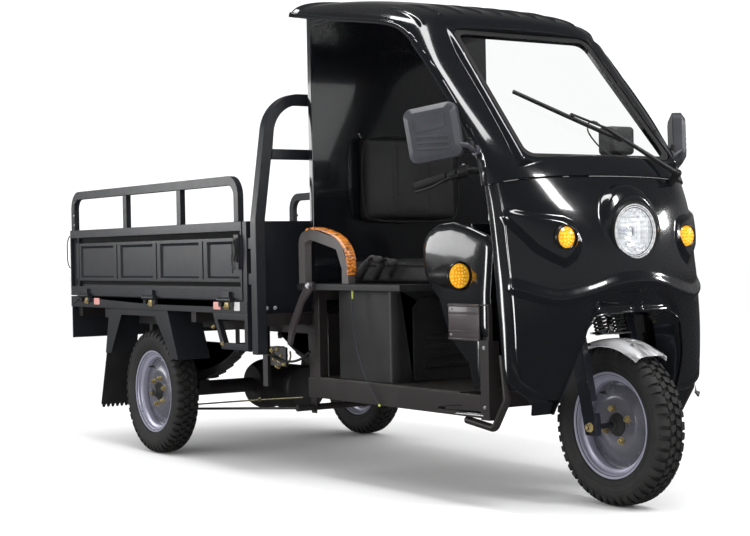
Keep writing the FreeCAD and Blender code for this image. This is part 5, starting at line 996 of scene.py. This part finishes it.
def stuffed(name, node, low, high, crown, cap, seams):
    """Padded piece: a rounded block that cloth pressure fills, with a crown and sewn channels."""
    mesh = bmesh.new()
    add_block(mesh, low, high, 12)
    data = bpy.data.meshes.new(name)
    mesh.to_mesh(data)
    mesh.free()
    pad = bpy.data.objects.new(name, data)
    bpy.context.collection.objects.link(pad)
    remesh = pad.modifiers.new("even_mesh", "REMESH")
    remesh.mode, remesh.voxel_size = "VOXEL", even_mesh
    bpy.context.view_layer.update()
    pad.data = bpy.data.meshes.new_from_object(pad.evaluated_get(bpy.context.evaluated_depsgraph_get()))
    pad.modifiers.clear()
    rest = [v.co.copy() for v in pad.data.vertices]
    cloth = pad.modifiers.new("filling", "CLOTH")
    cloth.settings.use_pressure = True
    cloth.settings.uniform_pressure_force = cloth_pressure
    cloth.settings.effector_weights.gravity = 0
    cloth.settings.quality = cloth_quality
    cloth.collision_settings.use_collision = False
    for number in range(1, cloth_frames + 1):
        bpy.context.scene.frame_set(number)
    shape = pad.evaluated_get(bpy.context.evaluated_depsgraph_get())
    filled = [v.co.copy() for v in shape.data.vertices]
    pad.modifiers.clear()
    bpy.context.scene.frame_set(1)
    middle = (P(*low) + P(*high)) / 2
    size = (P(*high) - P(*low)) / 2
    thin = min(range(3), key=lambda i: size[i])
    for vert, start, end in zip(pad.data.vertices, rest, filled):
        move = end - start
        if move.length > cap / 1000:
            move *= cap / 1000 / move.length
        place = start + move
        across = [(place[i] - middle[i]) / size[i] for i in range(3) if i != thin]
        swell = max(0, 1 - across[0] ** 4) * max(0, 1 - across[1] ** 4)
        side = (place[thin] - middle[thin]) / size[thin]
        if side > 0:
            place[thin] += crown / 1000 * swell * min(1, side)
            for axis, spot, depth in seams:
                place[thin] -= depth / 1000 * math.exp(-((place[axis] - spot) / seam_half_width) ** 2) * swell
        vert.co = place
    pad.data.materials.clear()
    pad.data.materials.append(seat_leather.material)
    for face in pad.data.polygons:
        face.use_smooth = True
    fine = pad.modifiers.new("fine", "SUBSURF")
    fine.levels = fine.render_levels = 1
    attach(pad, "chassis")
    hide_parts(node)


# Each seam: the way it is measured, its place in metres and its depth in millimetres.
stuffed("seat_cushion_padded", "seat_cushion", (1128, -332, 692), (1642, 332, 756), 10, 8,
        [(1, -0.11, 5), (1, 0.11, 5), (0, P(1300, 0, 0).x, 4), (0, P(1480, 0, 0).x, 4)])
stuffed("seat_back_padded", "seat_back", (1046, -206, 914), (1088, 206, 1214), 3, 3,
        [(1, -0.07, 3), (1, 0.075, 3)])
piping = bmesh.new()
add_bar(piping, [(1134, -306, 752), (1154, -326, 752), (1616, -326, 752), (1636, -306, 752), (1636, 306, 752),
                 (1616, 326, 752), (1154, 326, 752), (1134, 306, 752)], 3.2, closed=True)
add_bar(piping, [(1089, -186, 918), (1089, -203, 934), (1089, -203, 1194), (1089, -186, 1210), (1089, 186, 1210),
                 (1089, 203, 1194), (1089, 203, 934), (1089, 186, 918)], 2.8, closed=True)
piece("seat_piping", piping, seat_leather, "chassis", "seat_leather")


def strip(mesh, path, y0, y1, thick, wave=0):
    """Flat bar between two half widths that follows a path of stations and heights."""
    rings = []
    points = smooth_line(path, 8)
    for i, (x, z) in enumerate(points):
        before, after = Vector(points[max(0, i - 1)]), Vector(points[min(len(points) - 1, i + 1)])
        along_path = (after - before).normalized()
        out = Vector((-along_path.y, along_path.x))
        deep, shoulder = thick + wave * math.sin(i * 1.3), (y1 - y0) * 0.12
        section = ((y0, 0), (y0, deep * 0.6), (y0 + shoulder, deep), (y1 - shoulder, deep), (y1, deep * 0.6), (y1, 0))
        rings.append([mesh.verts.new(P(x + out.x * d, y, z + out.y * d)) for y, d in section])
    for a, b in zip(rings, rings[1:]):
        for k in range(6):
            mesh.faces.new((a[k - 1], a[k], b[k], b[k - 1]))
    mesh.faces.new(rings[0])
    mesh.faces.new(rings[-1][::-1])
    bmesh.ops.recalc_face_normals(mesh, faces=mesh.faces)


def armrest_pads():
    """Wood-look pads on the armrest loops."""
    pads = bmesh.new()
    for side in (-1, 1):
        y0, y1 = sorted((side * 404, side * 440))
        strip(pads, [(1062, 877), (1110, 881), (1190, 869), (1262, 846), (1305, 812), (1324, 775), (1327, 722)],
              y0, y1, 8, 0.8)
    piece("armrest_pads", pads, wood, "chassis", "armrest_plastic", limit=50)


def booted_levers():
    """Two gear levers lying beside the seat with ribbed rubber boots and knobs."""
    boots, bars = bmesh.new(), bmesh.new()
    for y, start, end, size in ((-392, (1322, 716), (1392, 772), 20), (-372, (1392, 716), (1448, 762), 17)):
        low, high = Vector((start[0], y, start[1])), Vector((end[0], y, end[1]))
        line = (high - low).normalized()
        ribs = []
        for k in range(9):
            s = k * (high - low).length / 9
            ribs += [(s, size * (1 - 0.05 * k)), (s + 4, size * (0.82 - 0.05 * k))]
        add_turned(boots, [(0, 1)] + ribs + [(s + 8, 5), (s + 8, 1)], low, line, 32, closed=False)
        add_bar(bars, [low + line * 40, high + line * 18, high + Vector((44, 0, 4))], 5)
        add_turned(boots, [(-2, 0.5), (0, 9), (10, 12), (26, 13), (36, 11), (42, 6), (43, 0.5)],
                   high + Vector((34, 0, 2)), (1, 0, -0.08), 32, closed=False)
    piece("lever_boots", boots, rubber_black, "chassis", "grip_rubber", limit=60)
    piece("lever_bars", bars, spring_black, "chassis", "spring_steel")


def driver_controls():
    """Hand levers, clamps, switch pods and the gauge block on the handlebar."""
    parts, bright = bmesh.new(), bmesh.new()
    for side in (-1, 1):
        shoulder, tip = Vector((1760, side * 250, 1056)), Vector((1588, side * 328, 1010))
        along_bar = (tip - shoulder).normalized()
        start = shoulder + along_bar * 52
        add_rod(parts, start - along_bar * 16, start + along_bar * 16, 17, chamfer=3)
        add_rod(parts, start + Vector((14, 0, -4)), start + Vector((32, 0, -8)), 9, chamfer=2)
        lever = [start + Vector((30, side * 2, -8)), start + Vector((8, side * 34, -16)),
                 start + along_bar * 84 + Vector((24, side * 18, -18)),
                 start + along_bar * 150 + Vector((12, side * 8, -16))]
        add_bar(parts, lever, 5)
        pod = shoulder + along_bar * 12
        add_rod(parts, pod - along_bar * 17, pod + along_bar * 17, 20, chamfer=5)
        add_rod(bright, pod + Vector((-4, 0, 19)), pod + Vector((-5, 0, 24)), 5, chamfer=1)
    add_block(parts, (1822, -62, 1000), (1872, 62, 1046), 10)
    piece("handlebar_controls", parts, plastic_black, "steering", "black_plastic", weighted=True)
    piece("switch_buttons", bright, zinc, "steering", "zinc_steel")


def release_cable():
    """Thin cord that hangs from under the seat board to the sill, with its tip and end fitting."""
    route = [(1303, -404, 664), (1303, -405, 640), (1302, -406, 610), (1310, -409, 560), (1330, -411, 480),
             (1370, -413, 400), (1420, -413, 335), (1452, -411, 300), (1462, -408, 288)]
    line = bpy.data.curves.new("release_cable", "CURVE")
    line.dimensions, line.bevel_depth, line.bevel_resolution, line.use_fill_caps = "3D", 0.0015, 3, True
    spline = line.splines.new("NURBS")
    spline.points.add(len(route) - 1)
    for spot, place in zip(spline.points, route):
        spot.co = (*P(*place), 1)
    spline.order_u, spline.use_endpoint_u = 3, True
    cable = bpy.data.objects.new("release_cable", line)
    bpy.context.collection.objects.link(cable)
    line.materials.append(cable_grey.material)
    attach(cable, "chassis")
    end = bmesh.new()
    add_rod(end, (1303, -404, 668), (1303, -404, 640), 4, 2.5, chamfer=0.6)
    add_ball(end, (1462, -408, 287), 4.5)
    tips = piece("release_cable_ends", end, yellow_tip, "chassis", "zinc_steel")
    tuple(P(*route[0]))


armrest_pads()
booted_levers()
driver_controls()


# ---- bed fittings
bed_half_width = 573


def bed_fittings():
    """Hinge brackets, reflectors, marker plates, bolts, latches with their chains and tail lamp lenses."""
    brackets, reds, plates, bolts, studs = (bmesh.new() for _ in range(5))
    for side in (-1, 1):
        face = side * bed_half_width
        for x in (-544, 84, 722):
            add_block(brackets, (x - 15, face + side * 0.4, 598), (x + 15, face + side * 5.5, 627), 1.5)
            for dx in (-8, 8):
                add_nut(brackets, (x + dx, face + side * 5, 606), (0, side, 0), 9, 5)
        for x in (-439, 646):
            add_block(reds, (x - 27, face + side * 0.4, 596), (x + 27, face + side * 4.5, 624), 2)
        for y in (457, 491):
            add_rod(studs, (867, side * y, 602), (873, side * y, 602), 8, 5.5, chamfer=1)
        add_nut(studs, (1094, side * 453.5, 684), (0, side, 0), 17, 7, 3)
        add_block(plates, (776, face + side * 0.4, 594), (818, face + side * 3, 626), 1)
        for x, z in ((606, 530), (676, 470)):
            add_nut(bolts, (x, face - side * 3.5, z), (0, side, 0), 12, 7, 3)
    for side, word in sides:
        body = f"side_{word}"
        latch = bmesh.new()
        outer = side * (bed_half_width + 10)
        add_block(latch, (798, outer, 770), (824, outer + side * 6, 858), 2)
        add_rod(latch, (811, outer, 846), (811, outer + side * 13, 846), 7, chamfer=1.5)
        add_rod(latch, (811, outer, 782), (811, outer + side * 10, 782), 5, chamfer=1)
        add_bar(latch, [(811, outer + side * 9, 846), (822, outer + side * 9, 812), (811, outer + side * 8, 778)], 3)
        for i in range(13):
            spot = Vector((790 + 2 * math.sin(i * 0.7), outer + side * 4, 836 - i * 8.5))
            axis = (1, 0, 0.2) if i % 2 else (0, 1, 0.2)
            add_turned(latch, [(-1.3, 3.4), (0, 2.2), (1.3, 3.4), (0, 4.8)], spot, axis, 12)
        piece(f"latch_{body}", latch, spring_black, body, "bed_paint")
    for side, word in sides:
        body = f"side_{word}"
        heads = bmesh.new()
        for z in (1036, 982, 940):
            add_nut(heads, (-673, side * (bed_half_width - 2), z), (0, side, 0), 9, 4)
        # Matt black strips in the upper and lower rail channels: painted shade where the channels fall dark.
        painted_shade_strips = bmesh.new()
        for low, high in ((681, 705), (860, 882)):
            add_block(painted_shade_strips, (-690, side * 557, low), (800, side * 559.6, high))
        piece(f"channel_shade_{body}", painted_shade_strips, painted_shade_black, body, "bed_paint")
        loop = bmesh.new()
        add_bar(loop, [(-716, side * 577, 894), (-726, side * 582, 870), (-729, side * 583, 820),
                       (-726, side * 582, 775), (-716, side * 577, 752)], 2.4)
        piece(f"rail_bolts_{body}", heads, zinc, body, "zinc_steel")
        piece(f"rear_loop_{body}", loop, spring_black, body, "spring_steel")
    piece("hinge_brackets", brackets, yellow_zinc, "chassis", "zinc_steel")
    piece("side_reflectors", reds, pink_reflector, "chassis", "red_lens", weighted=True)
    piece("marker_plates", plates, pale_plate, "chassis", "zinc_steel", weighted=True)
    piece("bright_studs", studs, bright_stud, "chassis", "zinc_steel")
    piece("guard_bolts", bolts, yellow_zinc, "chassis", "zinc_steel")
    lenses = bmesh.new()
    for side in (-1, 1):
        for y, wide in ((372, 34), (428, 30)):
            add_block(lenses, (-738.5, side * (y - wide / 2 - 8), 492), (-733, side * (y + wide / 2 + 4), 548), 2.5)
    piece("tail_lamp_lenses", lenses, red_glass, "chassis", "red_lens", weighted=True)


def frame_bolts():
    """Bolt heads on the posts, and the panel and pressed ribs of each wing bracket."""
    heads, ribs = bmesh.new(), bmesh.new()
    for side in (-1, 1):
        add_block(ribs, (1847, side * 396, 521), (2003, side * 401.6, 632), 2)
        for z, r in ((524, 4.5), (548, 3.4), (604, 3.4), (628, 5)):
            add_rod(ribs, (1848, side * 400.4, z), (2002, side * 400.4, z), r, chamfer=1)
        for z in (318, 500):
            add_rod(heads, (2026, side * 400, z), (2026, side * 404.5, z), 7, 5.5, chamfer=1)
        for z in (536, 616):
            add_rod(heads, (1862, side * 400, z), (1862, side * 404, z), 5, 3.6, chamfer=1)
    piece("post_bolts", heads, zinc, "chassis", "zinc_steel")
    piece("bracket_ribs", ribs, bracket_satin, "chassis", "chassis_paint")


def brake_valves():
    """Brake valve cluster on its post, its hose and the pull rods."""
    fittings, dark, rods = bmesh.new(), bmesh.new(), bmesh.new()
    add_block(dark, (646, -386, 300), (682, -372, 541), 2)
    for x, z, r, h in ((700, 437, 16, 30), (742, 442, 12, 24), (768, 420, 10, 20)):
        add_rod(dark, (x, -372, z), (x, -372 + h, z), r, chamfer=2)
        add_nut(fittings, (x, -371.5, z), (0, -1, 0), r * 1.2, 9, 4)
    for x, z in ((716, 404), (752, 398), (786, 388), (735, 378)):
        add_nut(fittings, (x, -366, z), (0.2, -1, 0.1), 15, 12, 8)
        add_bar(fittings, [(x, -360, z), (x + 8, -352, z + 26), (x + 2, -350, z + 48)], 3.2)
    add_block(dark, (682, -376, 380), (800, -366, 452), 3)
    piece("valve_fittings", fittings, yellow_zinc, "chassis", "zinc_steel")
    piece("valve_block", dark, casting, "chassis", "motor_casting", weighted=True)
    for side in (-1, 1):
        add_bar(rods, [(100, side * 378, 194), (608, side * 378, 246), (925, side * 378, 276)], 3.4)
        add_nut(rods, (608, side * 378, 246), (0, side, 0), 15, 9, 3)
    piece("brake_pull_rods", rods, pale_zinc, "chassis", "zinc_steel")
    hose = bmesh.new()
    add_bar(hose, [(560, -380, 470), (640, -392, 450), (700, -392, 424), (800, -380, 402), (880, -366, 410),
                   (930, -350, 440)], 4.5)
    piece("brake_hose", hose, rubber_black, "chassis", "flap_rubber")


bed_fittings()
frame_bolts()
brake_valves()


# ---- small front pieces
mirror_turn, mirror_lean = 52, 9


def mirror_heart(side):
    """Middle of one mirror's head."""
    return P(1936, side * 512, 1156)


def tilt_mirror(mesh, side):
    """Turn the head of one mirror in its own plane, as it sits on its stalk."""
    heart = mirror_heart(side)
    head = [v for v in mesh.verts if (v.co - heart).length < 0.135 and v.co.y * side > 0.43]
    axis = Matrix.Rotation(math.radians(side * mirror_turn), 3, "Z") @ Vector((1, 0, 0))
    bmesh.ops.rotate(mesh, cent=heart, matrix=Matrix.Rotation(math.radians(-side * mirror_lean), 3, axis), verts=head)


def mirror_glasses():
    """Glass set into the driver's side of each housing, and the knuckle of each stalk."""
    for side, word in sides:
        face = bmesh.new()
        add_block(face, (axle_station - 23.6, -72, -72), (axle_station - 21.2, 72, 72), 1)
        turn = Matrix.Rotation(math.radians(side * mirror_turn), 3, "Z")
        bmesh.ops.rotate(face, cent=(0, 0, 0), matrix=turn, verts=face.verts)
        bmesh.ops.translate(face, vec=mirror_heart(side), verts=face.verts)
        tilt_mirror(face, side)
        knuckle = bmesh.new()
        add_rod(knuckle, (2004, side * 424, 1094), (2004, side * 424, 1128), 15, 12, chamfer=3)
        add_rod(knuckle, (2004, side * 424, 1111), (1990, side * 448, 1116), 11, chamfer=2)
        add_nut(knuckle, (2004, side * 424, 1128), (0, 0, 1), 15, 8, 3)
        piece(f"mirror_knuckle_{word}", knuckle, plastic_black, "chassis", "black_plastic", weighted=True)
        piece(f"mirror_glass_{word}", face, mirror_face, "chassis", "bright_chrome", weighted=True)


def wiper_details():
    """Rubber blade edge, cap of the wiper's arm and the wire loop of the motor."""
    def on_glass(y, up, off):
        """Point at a half width, a distance up the glass and a distance off it."""
        return glass_foot + Vector((0, y, 0)) + glass_up * up + glass_out * off

    blade = bmesh.new()
    add_bar(blade, [on_glass(-198, 265, 14), on_glass(-35, 161, 13), on_glass(127, 58, 14)], 3)
    piece("wiper_rubber", blade, rubber_black, "chassis", "gasket_rubber")
    cap = bmesh.new()
    top = on_glass(257, -102, 38)
    add_rod(cap, on_glass(257, -102, 30), top + glass_out * 6, 14, 10, chamfer=3)
    piece("wiper_cap", cap, plastic_black, "chassis", "black_plastic")
    wire = bmesh.new()
    add_bar(wire, [(1960, 160, 1186), (1940, 130, 1210), (1950, 96, 1190), (1990, 90, 1140), (2030, 110, 1100),
                   (2060, 130, 1078)], 2.6)
    piece("wiper_motor_wire", wire, rubber_black, "chassis", "black_plastic")


mirror_glasses()
wiper_details()
release_cable()

softened_nodes = {
    "rear_axle": (chassis_black, "chassis_paint", 2), "leaf_springs": (spring_black, "spring_steel", 0.8),
    "drive_motor": (casting, "motor_casting", 1.5), "brake_linkage": (chassis_black, "zinc_steel", 0.8),
    "bed_subframe": (chassis_black, "chassis_paint", 1.5), "bed_floor": (bed_black, "bed_paint", 1.2),
    "drop_side_right": (bed_black, "bed_paint", 1.2), "drop_side_left": (bed_black, "bed_paint", 1.2),
    "tailgate": (bed_black, "bed_paint", 1.2), "headboard_hoop": (bed_black, "bed_paint", 3),
    "rear_fenders": (bed_black, "bed_paint", 1), "mud_flaps": (rubber_black, "flap_rubber", 1),
    "side_guards": (bed_black, "chassis_paint", 2), "rear_valance": (bed_black, "bed_paint", 1),
    "tail_lamps": (plastic_black, "black_plastic", 1), "cab_frame": (chassis_black, "chassis_paint", 2),
    "floor_plate": (floor_paint, "floor_sheet", 0.8), "battery_block": (battery_grey, "battery_case", 3),
    "seat_box": (plastic_black, "black_plastic", 2), "armrests": (armrest_grey, "armrest_plastic", 2),
    "parking_brake": (bracket_satin, "zinc_steel", 1.5), "back_wall": (gloss_black, "gloss_shell", 3),
    "windshield_gasket": (rubber_black, "gasket_rubber", 1), "leg_shield": (gloss_black, "gloss_shell", 2),
    "wiper": (plastic_black, "black_plastic", 0.6), "wiper_motor": (plastic_black, "black_plastic", 0.8),
    "mirrors": (mirror_grey, "black_plastic", 1), "guard_tubes": (chassis_black, "chassis_paint", 0.8),
    "handlebar": (plastic_black, "black_plastic", 0.8), "grips": (rubber_black, "grip_rubber", 1.5),
}
for node, (finish, slot, width) in softened_nodes.items():
    softened(node, finish, slot, width)
dress("cab_posts", chassis_black)


wing_outline = [(1955, 373), (1951, 431), (1907, 464), (1838, 519), (1803, 586), (1778, 643), (1731, 686), (1706, 724),
                (1694, 764), (1696, 815), (1708, 837), (1729, 855), (1783, 879), (1861, 884), (1937, 869), (2034, 838),
                (2052, 814), (2053, 790), (2038, 660), (2037, 528), (2004, 525), (2002, 373)]
wing_half, wing_middle, point_spacing = 384, Vector((1890, 740)), 14


def wing_skins(shield):
    """Domed skin of each wing, and the pocket ahead of its lamp."""
    outline = [Vector(p) for p in wing_outline]
    dense = []
    for a, b in zip(outline, outline[1:] + outline[:1]):
        count = max(1, int((b - a).length / point_spacing))
        dense += [a + (b - a) * i / count for i in range(count)]
    for side, word in sides:
        skin = bmesh.new()
        rings = []
        for share, lift in ((1, -1.5), (1, 0.6), (0.985, 3.5), (0.955, 6.4), (0.91, 8.8), (0.84, 10.6), (0.72, 12),
                            (0.52, 13), (0.25, 13.6)):
            spots = [wing_middle + (p - wing_middle) * share for p in dense]
            rings.append([skin.verts.new(P(x, side * (wing_half + lift), z)) for x, z in spots])
        for a, b in zip(rings, rings[1:]):
            for k in range(len(dense)):
                skin.faces.new((a[k - 1], a[k], b[k], b[k - 1]))
        skin.faces.new(rings[-1])
        skin.faces.new(rings[0][::-1])
        bmesh.ops.recalc_face_normals(skin, faces=skin.faces)
        wing = piece(f"wing_skin_{word}", skin, gloss_black, "chassis", "gloss_shell", limit=50)
        for thing, solver in ((wing, "FAST"), (shield, "EXACT")):
            pocket = cutter(circle(wing_pocket, 45), (side_lamp_x - 3, side * side_lamp_y, side_lamp_z),
                            (150, side * 92, 0))
            cut_with(thing, pocket, solver=solver)


def lean_mirrors(data):
    """Turn both heads of the mirrors' mesh."""
    heads = bmesh.new()
    heads.from_mesh(data)
    for side in (-1, 1):
        tilt_mirror(heads, side)
    heads.to_mesh(data)
    heads.free()


lean_mirrors(bpy.data.objects["mirrors_finished"].data)
wing_skins(bpy.data.objects["leg_shield_finished"])
dress("windshield", window_glass)


# ---- studio
floor_half, white_level = 60, 1.16
# How bright the room looks in reflections, by the upward part of their direction.
reflected_levels = ((0, 0.05), (0.02, 0.05), (0.14, 0.2), (0.24, 0.2), (0.4, 0.07), (1, 0.06))
# Soft boxes: place, aim, width, height, power.
soft_boxes = [((0.2, -0.9, 4.6), (0.2, -0.4, 0), 4.2, 0.9, 100), ((4.6, 0.6, 4.3), (1.35, -0.2, 0.95), 0.8, 2.0, 120),
              ((3.0, 4.4, 2.5), (1.4, 0.1, 0.9), 0.5, 0.6, 30), ((-5.4, -4.2, 1.5), (-0.5, -0.57, 0.75), 2.6, 1.3, 42),
              ((-1.6, -6.0, 0.9), (0.9, -0.4, 0.7), 0.9, 1.6, 60)]


def studio():
    """Pale floor, white backdrop and soft boxes."""
    sheet = bmesh.new()
    bmesh.ops.create_grid(sheet, x_segments=1, y_segments=1, size=floor_half)
    mesh = bpy.data.meshes.new("studio_floor")
    sheet.to_mesh(mesh)
    sheet.free()
    floor = bpy.data.objects.new("studio_floor", mesh)
    bpy.context.collection.objects.link(floor)
    ground = Finish("pale_floor", (0.93, 0.93, 0.93), 0.9)
    mesh.materials.append(ground.material)
    floor.visible_glossy = False
    world = bpy.data.worlds.new("white_studio")
    bpy.context.scene.world = world
    world.use_nodes = True
    tree = world.node_tree
    back = tree.nodes["Background"]
    back.inputs["Color"].default_value = (1, 1, 1, 1)
    rays = tree.nodes.new("ShaderNodeLightPath")
    toward = tree.nodes.new("ShaderNodeTexCoord")
    height = tree.nodes.new("ShaderNodeSeparateXYZ")
    tree.links.new(toward.outputs["Generated"], height.inputs[0])
    glow = tree.nodes.new("ShaderNodeValToRGB")
    ramp = glow.color_ramp
    for place in reflected_levels[1:-1]:
        ramp.elements.new(place[0])
    for spot, (place, level) in zip(ramp.elements, reflected_levels):
        spot.position, spot.color = place, (level, level, level, 1)
    tree.links.new(height.outputs["Z"], glow.inputs[0])
    dim = tree.nodes.new("ShaderNodeMapRange")
    dim.inputs["To Min"].default_value = white_level
    tree.links.new(glow.outputs[0], dim.inputs["To Max"])
    tree.links.new(rays.outputs["Is Glossy Ray"], dim.inputs["Value"])
    strength = dim.outputs[0]
    for ray in ("Is Camera Ray", "Is Transmission Ray"):
        larger = tree.nodes.new("ShaderNodeMath")
        larger.operation = "MAXIMUM"
        tree.links.new(rays.outputs[ray], larger.inputs[0])
        tree.links.new(strength, larger.inputs[1])
        strength = larger.outputs[0]
    tree.links.new(strength, back.inputs["Strength"])
    bpy.context.scene.view_settings.view_transform = "Standard"
    for number, (place, aim, width, height, power) in enumerate(soft_boxes):
        lamp = bpy.data.lights.new(f"soft_box_{number}", "AREA")
        lamp.shape, lamp.size, lamp.size_y, lamp.energy = "RECTANGLE", width, height, power
        holder = bpy.data.objects.new(lamp.name, lamp)
        bpy.context.collection.objects.link(holder)
        holder.location = place
        holder.rotation_euler = (Vector(aim) - Vector(place)).to_track_quat("-Z", "Y").to_euler()


set_camera()
studio()
